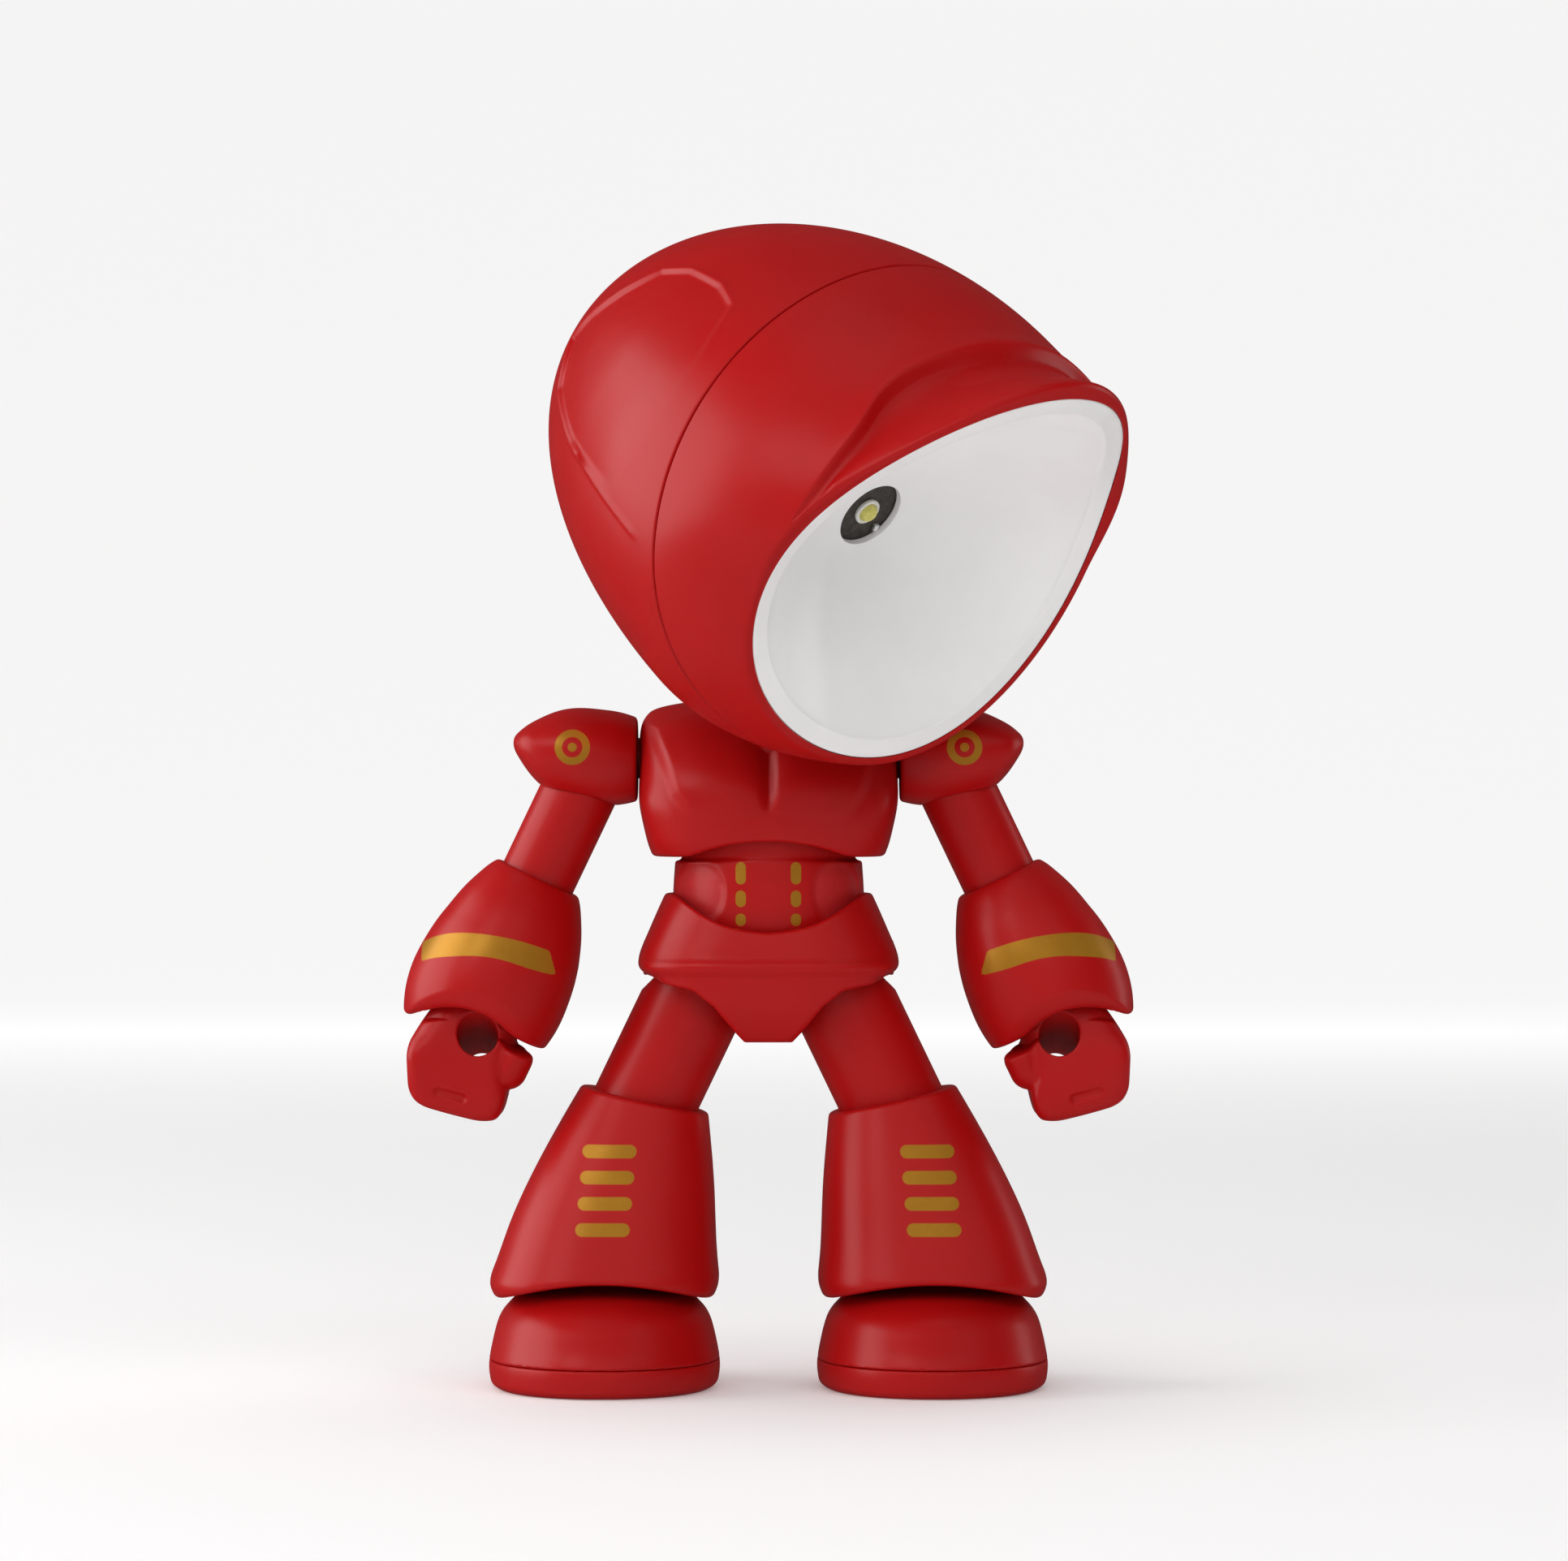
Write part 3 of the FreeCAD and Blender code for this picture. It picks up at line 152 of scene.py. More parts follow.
def grown(fn, lo, hi, h):
    """surface where a field is zero, as quads whose corners are drawn onto that surface"""
    lo, hi = np.array(lo, float), np.array(hi, float)
    n = np.ceil((hi - lo) / h).astype(int) + 1
    ax = [lo[i] + h * np.arange(n[i]) for i in range(3)]
    d = np.broadcast_to(fn(ax[0][:, None, None], ax[1][None, :, None], ax[2][None, None, :]), n)
    g = openvdb.FloatGrid(3 * h)
    g.copyFromArray(np.ascontiguousarray(np.clip(d, -3 * h, 3 * h), dtype=np.float32))
    pts, quads = g.convertToQuads(isovalue=0.0)[:2]
    p = np.array(pts, float) * h + lo
    e = 0.02
    for _ in range(4):
        f0 = fn(p[:, 0], p[:, 1], p[:, 2])
        G = np.empty_like(p)
        for i in range(3):
            a, b = p.copy(), p.copy()
            a[:, i] += e
            b[:, i] -= e
            G[:, i] = (fn(a[:, 0], a[:, 1], a[:, 2]) - fn(b[:, 0], b[:, 1], b[:, 2])) / (2 * e)
        g2 = np.maximum((G * G).sum(1), 0.05)
        s = (f0 / g2)[:, None] * G
        ln = np.linalg.norm(s, axis=1)[:, None]
        p -= s * np.minimum(1, 0.35 * h / np.maximum(ln, 1e-9))
    q = np.array(quads, np.int64)
    if volume_of(p, q) < 0:
        q = q[:, ::-1]
    return p, q

def flip_x(p, q):
    p = p.copy()
    p[:, 0] *= -1
    return p, q[:, ::-1]

def torus(rows, name=None):
    """closed mesh from rows[k][i], periodic both ways"""
    R = np.array(rows)
    m, n = R.shape[:2]
    i, k = np.meshgrid(np.arange(n), np.arange(m), indexing="xy")
    i2, k2 = (i + 1) % n, (k + 1) % m
    q = np.stack([k * n + i, k * n + i2, k2 * n + i2, k2 * n + i], -1).reshape(-1, 4)
    p = R.reshape(-1, 3)
    if volume_of(p, q) < 0:
        q = q[:, ::-1]
    return p, q

def lathe(profile, seg=96):
    """closed solid of revolution about +z from (r, z) points that start and end on the axis"""
    pr = np.array(profile, float)
    a = 2 * pi * np.arange(seg) / seg
    rows = [np.stack([r * np.cos(a), r * np.sin(a), np.full(seg, z)], -1) for r, z in pr[1:-1]]
    p = np.concatenate(rows + [[[0, 0, pr[0][1]]], [[0, 0, pr[-1][1]]]])
    m = len(rows)
    i = np.arange(seg)
    j = (i + 1) % seg
    quads = np.concatenate([np.stack([k * seg + i, k * seg + j, (k + 1) * seg + j, (k + 1) * seg + i], -1) for k in range(m - 1)])
    tris = np.concatenate([np.stack([j, i, np.full(seg, m * seg)], -1),
                           np.stack([(m - 1) * seg + i, (m - 1) * seg + j, np.full(seg, m * seg + 1)], -1)])
    if volume_of(p, quads) + volume_of(p, tris) < 0:
        quads, tris = quads[:, ::-1], tris[:, ::-1]
    return p, [quads, tris]

def smooth_profile(points, r=0.3, n=4):
    """a polyline with its inner corners rounded"""
    P = [np.array(p, float) for p in points]
    out = [P[0]]
    for a, b, c in zip(P, P[1:], P[2:]):
        u, v = a - b, c - b
        lu, lv = np.linalg.norm(u), np.linalg.norm(v)
        t = min(r, lu * 0.45, lv * 0.45)
        s, e = b + u / lu * t, b + v / lv * t
        for k in range(n + 1):
            w = k / n
            out.append((1 - w) ** 2 * s + 2 * w * (1 - w) * b + w * w * e)
    out.append(P[-1])
    return out

def place(p, origin, ex, ey, ez):
    M = np.array([ex, ey, ez], float)
    return p @ M + np.array(origin, float)

def turned(p, q, origin, ex, ey, ez):
    flip = np.linalg.det(np.array([ex, ey, ez], float)) < 0
    p = place(p, origin, ex, ey, ez)
    if flip:
        q = [f[:, ::-1] for f in q] if isinstance(q, list) else q[:, ::-1]
    return p, q

def attribute(o, name, values):
    a = o.data.attributes.new(name, "FLOAT", "POINT")
    a.data.foreach_set("value", np.asarray(values, np.float32))

def boolean(o, tool, how):
    m = o.modifiers.new("b", "BOOLEAN")
    m.operation, m.object = how, tool
    m.solver = "MANIFOLD" if "MANIFOLD" in [e.identifier for e in m.bl_rna.properties["solver"].enum_items] else "EXACT"
    dg = bpy.context.evaluated_depsgraph_get()
    me = bpy.data.meshes.new_from_object(o.evaluated_get(dg))
    o.modifiers.clear()
    old = o.data
    o.data = me
    bpy.data.meshes.remove(old)
    bpy.data.objects.remove(tool)
    me.polygons.foreach_set("use_smooth", np.ones(len(me.polygons), bool))
    return o

# ------------------------------------------------------------------------------ materials
def material(name):
    m = bpy.data.materials.new(name)
    m.use_nodes = True
    nt = m.node_tree
    nt.nodes.clear()
    o = nt.nodes.new("ShaderNodeOutputMaterial")
    b = nt.nodes.new("ShaderNodeBsdfPrincipled")
    nt.links.new(b.outputs[0], o.inputs[0])
    return m, nt, b

def node(nt, kind, **kw):
    n = nt.nodes.new(kind)
    for k, v in kw.items():
        if k.startswith("in_"):
            n.inputs[k[3:].replace("_", " ")].default_value = v
        elif isinstance(v, (list, tuple)) and k == "inputs":
            for i, x in v:
                n.inputs[i].default_value = x
        else:
            setattr(n, k, v)
    return n

def noise(nt, coord, scale, detail=3.0, rough=0.5):
    n = nt.nodes.new("ShaderNodeTexNoise")
    n.inputs["Scale"].default_value = scale
    n.inputs["Detail"].default_value = detail
    n.inputs["Roughness"].default_value = rough
    nt.links.new(coord, n.inputs["Vector"])
    return n.outputs["Fac"]

def mapped(nt, value, a, b, c, d, smooth=False):
    n = nt.nodes.new("ShaderNodeMapRange")
    if smooth:
        n.interpolation_type = "SMOOTHSTEP"
    for k, v in zip(("From Min", "From Max", "To Min", "To Max"), (a, b, c, d)):
        n.inputs[k].default_value = v
    nt.links.new(value, n.inputs["Value"])
    return n.outputs["Result"]

def mix_colour(nt, fac, a, b):
    n = nt.nodes.new("ShaderNodeMix")
    n.data_type = "RGBA"
    for sock, v in ((n.inputs["Factor"], fac), (n.inputs[6], a), (n.inputs[7], b)):
        if isinstance(v, (float, int)):
            sock.default_value = v
        elif isinstance(v, tuple):
            sock.default_value = (*v, 1.0)
        else:
            nt.links.new(v, sock)
    return n.outputs[2]

def mix_value(nt, fac, a, b):
    n = nt.nodes.new("ShaderNodeMix")
    n.data_type = "FLOAT"
    for sock, v in ((n.inputs["Factor"], fac), (n.inputs[2], a), (n.inputs[3], b)):
        if isinstance(v, (float, int)):
            sock.default_value = v
        else:
            nt.links.new(v, sock)
    return n.outputs[0]

def coords(nt):
    return nt.nodes.new("ShaderNodeTexCoord").outputs["Object"]

def bump(nt, bsdf, height, strength, distance):
    n = nt.nodes.new("ShaderNodeBump")
    n.inputs["Strength"].default_value = strength
    n.inputs["Distance"].default_value = distance
    nt.links.new(height, n.inputs["Height"])
    nt.links.new(n.outputs[0], bsdf.inputs["Normal"])

def srgb(r, g, b):
    f = lambda c: c / 255 / 12.92 if c / 255 <= 0.04045 else ((c / 255 + 0.055) / 1.055) ** 2.4
    return (f(r), f(g), f(b))

RED_A, RED_B = (0.44, 0.0032, 0.0038), (0.405, 0.0026, 0.0030)
GOLD_A, GOLD_B = (0.56, 0.27, 0.022), (0.44, 0.19, 0.014)

def red_plastic(name, rough=(0.33, 0.41), printed=False, satin_and_painted_sheen=None):
    """moulded plastic with faint flow marks, a fine surface grain and, where asked, a gold pad print, and a satin patch
    with a lighter red painted in as painted sheen
    """
    m, nt, b = material(name)
    c = coords(nt)
    flow = noise(nt, c, 38.0, 3.0, 0.55)
    fine = noise(nt, c, 900.0, 2.0, 0.5)
    grain = noise(nt, c, 3200.0, 2.0, 0.6)
    colour = mix_colour(nt, mapped(nt, flow, 0.35, 0.65, 0.0, 1.0), RED_A, RED_B)
    roughness = mapped(nt, noise(nt, c, 120.0, 4.0, 0.6), 0.3, 0.7, rough[0], rough[1])
    metal = None
    # satin patch: real satin roughness, and a lighter red painted on as painted sheen where the side ovals catch the
    # light
    if satin_and_painted_sheen:
        at = node(nt, "ShaderNodeAttribute", attribute_name=satin_and_painted_sheen, attribute_type="GEOMETRY")
        w = mapped(nt, at.outputs["Fac"], -0.0005, 0.0005, 1.0, 0.0, True)
        colour = mix_colour(nt, w, colour, (0.47, 0.016, 0.018))
        roughness = mix_value(nt, w, roughness, 0.42)
    if printed:
        at = node(nt, "ShaderNodeAttribute", attribute_name="print_edge", attribute_type="GEOMETRY")
        w = mapped(nt, at.outputs["Fac"], -0.06, 0.06, 1.0, 0.0, True)
        speck = mapped(nt, noise(nt, c, 2600.0, 3.0, 0.7), 0.62, 0.74, 0.0, 1.0)
        gold = mix_colour(nt, noise(nt, c, 260.0, 4.0, 0.6), GOLD_A, GOLD_B)
        gold = mix_colour(nt, mapped(nt, speck, 0, 1, 0, 0.35), gold, (0.75, 0.45, 0.09))
        colour = mix_colour(nt, w, colour, gold)
        roughness = mix_value(nt, w, roughness, 0.40)
        metal = mapped(nt, w, 0.0, 1.0, 0.0, 0.45)
        nt.links.new(metal, b.inputs["Metallic"])
    nt.links.new(colour, b.inputs["Base Color"])
    nt.links.new(roughness, b.inputs["Roughness"])
    height = mix_value(nt, 0.35, fine, grain)
    bump(nt, b, height, 0.10, 0.00006)
    b.inputs["Specular IOR Level"].default_value = 0.25
    b.inputs["Coat Weight"].default_value = 0.06
    b.inputs["Coat Roughness"].default_value = 0.22
    b.inputs["Subsurface Weight"].default_value = 0.0
    return m

def plain(name, a, b_, rough, metal=0.0, scale=200.0, bump_by=0.08, dist=0.00005, aniso=None):
    m, nt, b = material(name)
    c = coords(nt)
    n1 = noise(nt, c, scale, 4.0, 0.6)
    nt.links.new(mix_colour(nt, mapped(nt, n1, 0.35, 0.65, 0, 1), a, b_), b.inputs["Base Color"])
    nt.links.new(mapped(nt, noise(nt, c, scale * 2.3, 3.0, 0.6), 0.3, 0.7, rough[0], rough[1]), b.inputs["Roughness"])
    b.inputs["Metallic"].default_value = metal
    bump(nt, b, noise(nt, c, scale * 6, 3.0, 0.6), bump_by, dist)
    return m

RED = red_plastic("moulded_red")
RED_PRINT = red_plastic("moulded_red_printed", printed=True)
RED_SATIN = red_plastic("moulded_red_satin", rough=(0.36, 0.44))
# darker copy of the red plastic for the parts that sit inside others: painted shade
RED_SHADED_INNER = plain("inner_red_painted_shade", (0.30, 0.004, 0.006), (0.24, 0.003, 0.004), (0.42, 0.55), 0.0, 150.0, 0.15)
WHITE_BOWL = plain("bowl_pearl", (0.93, 0.925, 0.92), (0.89, 0.885, 0.88), (0.30, 0.38), 0.0, 60.0, 0.05, 0.00004)
WHITE_BOWL.node_tree.nodes["Principled BSDF"].inputs["Coat Weight"].default_value = 0.3
WHITE_BOWL.node_tree.nodes["Principled BSDF"].inputs["Coat Roughness"].default_value = 0.15
BOARD = plain("board_mask", (0.040, 0.032, 0.026), (0.075, 0.062, 0.050), (0.40, 0.62), 0.0, 1500.0, 0.5, 0.0001)
LED_WHITE = plain("led_ceramic", (0.80, 0.79, 0.74), (0.70, 0.69, 0.63), (0.30, 0.45), 0.0, 900.0, 0.1)
PHOS = plain("led_phosphor", (0.78, 0.72, 0.20), (0.66, 0.60, 0.13), (0.25, 0.40), 0.0, 2200.0, 0.25)
STEEL = plain("steel", (0.62, 0.62, 0.63), (0.50, 0.50, 0.51), (0.22, 0.38), 1.0, 700.0, 0.12)
CELL = plain("cell_steel", (0.72, 0.71, 0.69), (0.60, 0.59, 0.57), (0.14, 0.26), 1.0, 300.0, 0.08)
DARK = plain("dark_plastic", (0.030, 0.030, 0.032), (0.020, 0.020, 0.022), (0.38, 0.52), 0.0, 400.0, 0.2)
WHITE_PL = plain("white_plastic", (0.72, 0.72, 0.70), (0.63, 0.63, 0.61), (0.34, 0.46), 0.0, 250.0, 0.12)
WIRE = plain("wire_sleeve", (0.42, 0.018, 0.014), (0.34, 0.012, 0.010), (0.35, 0.50), 0.0, 500.0, 0.2)
TIN = plain("tinned_end", (0.70, 0.69, 0.66), (0.56, 0.55, 0.52), (0.25, 0.40), 1.0, 1800.0, 0.3)

def finish(o, mat, body, nodes=()):
    o.data.materials.clear()
    o.data.materials.append(mat)
    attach(o, body)
    if nodes:
        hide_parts(*nodes)
    return o

# ------------------------------------------------------------------------------ the head
YAW, PITCH, ROLL = rad(46.0), rad(39.25), rad(7.0)
HF = np.array([sin(YAW) * cos(PITCH), -cos(YAW) * cos(PITCH), -sin(PITCH)])
_r0 = np.array([cos(YAW), sin(YAW), 0.0])
_u0 = np.cross(_r0, HF)
_u0 *= np.sign(_u0[2])
HR = _r0 * cos(ROLL) + _u0 * sin(ROLL)
HU = _u0 * cos(ROLL) - _r0 * sin(ROLL)
NECK_BALL, NECK_TILT = np.array([0.0, -11.0, 91.72]), rad(25.0)
HO = np.array([20.86, -35.5, 96.82])
SM, HL, DROP = -15.9, 46.7, -5.0

def head_points(a, s, b):
    a, s, b = np.broadcast_arrays(a, s, b)
    return HO + a[..., None] * HR + s[..., None] * HF + b[..., None] * HU

def rho(p): return 26.05 + 0.15 * np.cos(p) + 2.12 * np.sin(p) - 0.395 * np.cos(2 * p) - 0.988 * np.sin(3 * p) + 0.247 * np.cos(4 * p)
def egg_w(p): return 30.72 - 2.12 * np.sin(p) + 0.988 * np.cos(2 * p) - 0.296 * np.sin(3 * p)
def rim_s(p): return -3.2 * np.cos(2 * p) - 0.4 * np.sin(3 * p)

def egg(p, m, off=0.0):
    """a, s, b on the egg at angle p round the lamp axis and station m along its skin (0 at the widest section)"""
    p, m = np.broadcast_arrays(np.asarray(p, float), np.asarray(m, float))
    q = np.clip(-m / HL, 0, pi / 2)
    w = egg_w(p)
    f = np.maximum(m, 0) / (-SM + rim_s(p) * (1 - step(np.sin(p), -0.1, 0.45)))
    r = np.where(m >= 0, w - (w - rho(p) - 1.0) * f * f - off, (w - off) * np.cos(q))
    s = np.where(m >= 0, SM + m, SM - (HL - off) * np.sin(q))
    c = np.where(m >= 0, 0.0, DROP * np.sin(q) ** 2)
    return r, s, c

def skin(p, m, off=0.0, lift=None):
    r, s, c = egg(p, m, off)
    P = np.stack([r * np.cos(p), s, r * np.sin(p) + c], -1)
    if lift is not None:
        e = 1e-3
        def pt(pp, mm):
            r, s, c = egg(pp, mm, off)
            return np.stack([r * np.cos(pp), s, r * np.sin(pp) + c], -1)
        n = np.cross(pt(p + e, m) - pt(p - e, m), pt(p, m + e) - pt(p, m - e))
        n /= np.linalg.norm(n, axis=-1, keepdims=True)
        out = np.stack([np.cos(p), np.zeros_like(p), np.sin(p)], -1)
        n *= np.sign((n * out).sum(-1, keepdims=True))
        P = P + n * lift[..., None]
    return P

def to_body(P):
    return HO + P[..., 0:1] * HR + P[..., 1:2] * HF + P[..., 2:3] * HU

def seam_m(p):
    lo, hi = np.full_like(p, -45.0), np.full_like(p, 18.0)
    for _ in range(40):
        mid = (lo + hi) / 2
        r, s, c = egg(p, mid)
        b = r * np.sin(p) + c
        ahead = s > -17.7 - 0.45 * b + 0.004 * b * b
        hi, lo = np.where(ahead, mid, hi), np.where(ahead, lo, mid)
    return (lo + hi) / 2

# brow over the mouth: a crest that stands a little proud, with a hollow between it and the rim
BROW_PHI = [20, 30, 40, 50, 60, 70, 80, 90]
_crest = spline([12, 23, 32, 38, 46, 54, 66, 78, 90], [-3.1, -3.7, -4.4, -5.0, -6.0, -7.8, -9.1, -9.3, -9.6])
_crease = spline([12, 25, 40, 54, 68, 78, 90], [0.7, 1.0, 1.5, 2.0, 2.7, 3.3, 4.6])
def brow(p, s):
    d = np.degrees(p) % 360
    t = np.where(d <= 90, d, np.where(d <= 270, 180 - d, d - 360))      # angle above the side
    amp = step(t, 14, 52)
    sc = _crest(np.clip(t, 12, 90))
    x = s - sc
    rs = rim_s(p)
    low = _crease(np.clip(t, 12, 90))                                 # from the crest down to the hollow's floor
    low = np.minimum(low, 0.55 * (rs - sc))
    fall = step(x, 0.0, 0.72 * low)
    rise = step(x, low * 0.9, np.maximum(rs - sc - 0.7, low + 0.8))
    proud = 0.30 * np.exp(-np.maximum(-x, 0) ** 2 / 1.8 ** 2)
    deep = 1.5 + 0.35 * step(t, 60, 85)
    lift = np.where(x < 0, proud, 0.30 - deep * fall + (deep - 0.30) * rise)
    return amp * lift

# shallow cup on each side of the rear shell
CUP = [(-53.5, 176), (-52.4, 165), (-49.6, 150), (-46.8, 137.5), (-42.5, 133), (-36.0, 132.5), (-31.5, 135), (-27.5, 150), (-25.5, 170), (-26.0, 186), (-38.0, 189), (-48.0, 187)]
def cup(p, s):
    d = np.degrees(p) % 360
    d = np.where((d > 90) & (d < 270), d, (540 - d) % 360)
    k = 30 * pi / 180
    g = polygon([(a, b * k) for a, b in CUP], s, d * k)
    deep = 0.42 * step(-s, 24.5, 37.0)
    ridge = 0.10 * np.exp(-((g - 0.35) / 0.45) ** 2) * step(-s, 26, 34)
    line = 0.20 * np.exp(-((d - 188.6) * k / 0.32) ** 2) * step(-s, 18.6, 20.5) * (1 - step(-s, 36.5, 39.5))
    return -deep * step(-g, -0.35, 0.75) + ridge + line

def build_head():
    NP = 640
    p = 2 * pi * np.arange(NP) / NP
    ms = seam_m(p)
    gap = 0.11
    # hood
    sr, F = rim_s(p), rho(p) + 1.0
    RR = 0.7
    LR = -SM + sr * (1 - step(np.sin(p), -0.1, 0.45))
    gam = np.arctan(2 * (egg_w(p) - F) * (sr - SM - 0.35) / LR ** 2)
    mr = sr - SM - RR * (1 - np.sin(gam))
    wall = lambda m: 1.0 + 0.6 * np.clip((-3 - (SM + np.maximum(m, 0))) / 5, 0, 1)
    rows = []
    for k in range(10):
        rows.append(skin(p, ms + gap + 2.4 * k / 9, 0.66))
    m0 = ms + gap + 2.45
    for k in range(26):
        m = m0 + (mr - m0) * k / 25
        rows.append(skin(p, m, wall(m)))
    # rim: inner and outer corners rounded
    r_in = rho(p)
    for a in np.radians([10, 35, 62, 90]):
        rr, ss = r_in + 0.2 - 0.2 * np.cos(a), sr - 0.2 + 0.2 * np.sin(a)
        rows.append(np.stack([rr * np.cos(p), ss, rr * np.sin(p)], -1))
    rc = egg(p, mr)[0] - RR * np.cos(gam)
    for f in np.linspace(0.0, 0.93, 9):
        a = pi / 2 + (gam - pi / 2) * f
        rr, ss = rc + RR * np.cos(a), sr - RR + RR * np.sin(a)
        rows.append(np.stack([rr * np.cos(p), ss, rr * np.sin(p)], -1))
    nv = 220
    for k in range(nv):
        f = k / (nv - 1)
        m = mr + (ms + gap + 0.22 - mr) * f ** 1.15
        rows.append(skin(p, m, 0.0, brow(p, SM + m)))
    rows.append(skin(p, ms + gap + 0.09, 0.04))
    rows.append(skin(p, ms + gap + 0.01, 0.15))
    rows.append(skin(p, ms + gap, 0.35))
    v, q = torus([to_body(r) for r in rows])
    o = mesh_object("hood_shell", v, q)
    finish(o, RED, "head", ["head_front_hood"])

    # rear shell
    def cap_m(off):
        return -HL * np.arccos(4.0 / (egg_w(p) - off))
    rows = []
    nv = 260
    mp = cap_m(0.0)
    rows.append(skin(p, mp - 0.12, 0.30))
    rows.append(skin(p, mp - 0.02, 0.08))
    for k in range(nv):
        f = k / (nv - 1)
        m = mp + 0.25 + (ms - gap - 0.22 - mp - 0.25) * f
        s = egg(p, m)[1]
        rows.append(skin(p, m, 0.0, cup(p, s)))
    rows.append(skin(p, ms - gap - 0.09, 0.04))
    rows.append(skin(p, ms - gap - 0.01, 0.15))
    rows.append(skin(p, ms - gap, 0.35))
    rows.append(skin(p, ms - gap, 0.75))
    for k in range(6):
        rows.append(skin(p, ms - gap + 0.15 + 1.8 * k / 5, 0.76))
    rows.append(skin(p, ms + 1.88, 0.5 * (0.78 + wall(ms + 1.88))))
    mi = cap_m(1.6)
    for k in range(70):
        m = ms + 1.85 + (mi - ms - 1.85) * k / 69
        rows.append(skin(p, m, wall(m)))
    v, q = torus([to_body(r) for r in rows])
    o = mesh_object("rear_shell", v, q)
    whole = o.data.copy()
    # ball-socket slot under the head
    B = NECK_BALL - HO
    bl = np.array([B @ HR, B @ HF, B @ HU])                         # a, s, b of the neck ball
    c1, s1, c2, s2 = cos(rad(4.7)), sin(rad(4.7)), cos(rad(7.4)), sin(rad(7.4))
    ax = np.array([c1 * s2, s1, -c1 * c2])                          # in a, s, b: the slot's middle
    t2 = np.array([-s1 * s2, c1, s1 * c2])
    t1 = np.array([c2, 0.0, s2])
    e1 = np.array([1.0, 0.0, 0.0])
    ring = []
    for k in range(96):
        t = 2 * pi * k / 96
        ring.append((5.2 * cos(t), 5.2 * sin(t) + (1.9 if sin(t) >= 0 else -1.9)))
    def prism(outline, base, e1, e2, ax, h0, h1, name):
        n = len(outline)
        P = [base + e1 * u + e2 * v + ax * h for h in (h0, h1) for u, v in outline]
        P = to_body(np.array(P))
        side = np.array([[i, (i + 1) % n, n + (i + 1) % n, n + i] for i in range(n)])
        me = bpy.data.meshes.new(name)
        V_ = P * 0.001
        V_[:, 1] += DY * 0.001
        me.from_pydata(V_.tolist(), [], side.tolist() + [list(range(n))[::-1], list(range(n, 2 * n))])
        me.update()
        t = bpy.data.objects.new(name, me)
        bpy.context.scene.collection.objects.link(t)
        import bmesh
        bm = bmesh.new()
        bm.from_mesh(me)
        bmesh.ops.recalc_face_normals(bm, faces=bm.faces)
        bm.to_mesh(me)
        bm.free()
        return t
    def plate(x0, x1, y0, y1, r):
        out = []
        for cx, cy, a0 in ((x1 - r, y1 - r, 0), (x0 + r, y1 - r, 90), (x0 + r, y0 + r, 180), (x1 - r, y0 + r, 270)):
            for k in range(7):
                a = rad(a0 + 15 * k)
                out.append((cx + r * cos(a), cy + r * sin(a)))
        return out
    slot = prism(ring, bl, t1, t2, ax, 3.5, 16.0, "t1")
    boolean(o, slot, "DIFFERENCE")
    zero = np.zeros(3)
    up, fw = np.array([0.0, 0.0, 1.0]), np.array([0.0, 1.0, 0.0])
    opening = prism(plate(-9.15, 9.15, -50.15, -33.35, 1.35), zero, e1, fw, up, -40.0, -14.0, "t2")
    boolean(o, opening, "DIFFERENCE")
    o.data.set_sharp_from_angle(angle=rad(38))
    finish(o, RED, "head", ["head_rear_shell"])
    # battery door: the same skin inside the opening
    d = bpy.data.objects.new("cell_door", whole)
    bpy.context.scene.collection.objects.link(d)
    inside = prism(plate(-9.0, 9.0, -50.0, -33.5, 1.2), zero, e1, fw, up, -40.0, -14.2, "t3")
    boolean(d, inside, "INTERSECT")
    hole = [(1.75 * cos(2 * pi * k / 40), -35.3 + 1.75 * sin(2 * pi * k / 40)) for k in range(40)]
    boolean(d, prism(hole, zero, e1, fw, up, -40.0, -28.9, "t4"), "DIFFERENCE")
    # finger ribs across the door
    for k in range(5):
        s0 = -41.0 - 1.5 * k
        rib = plate(-4.0 + 0.25 * k, 4.0 - 0.25 * k, s0 - 0.28, s0 + 0.28, 0.27)
        r, _, c = egg(np.array([-pi / 2]), np.array([-HL * math.asin((SM - s0) / HL)]))
        zb = float(-r[0] + c[0])
        boolean(d, prism(rib, zero, e1, fw, up, zb - 1.0, zb + 0.28, "t5"), "DIFFERENCE")
    d.data.set_sharp_from_angle(angle=rad(38))
    finish(d, RED, "head", ["battery_door"])

    # reflector: chamfered lip, bowl, LED hole
    hole, hb = 4.3, -0.9
    def bowl_r(s):
        u = np.clip((s + 15.0) / (sr - 1.0 + 15.0), 0, 1)
        return 3.9 + (r_in - 2.0 - 3.9) * u ** (1 / 1.75)
    rows = []
    def ring_at(r, s, c=0.0):
        rows.append(np.stack([r * np.cos(p), np.broadcast_to(s, p.shape), r * np.sin(p) + c], -1))
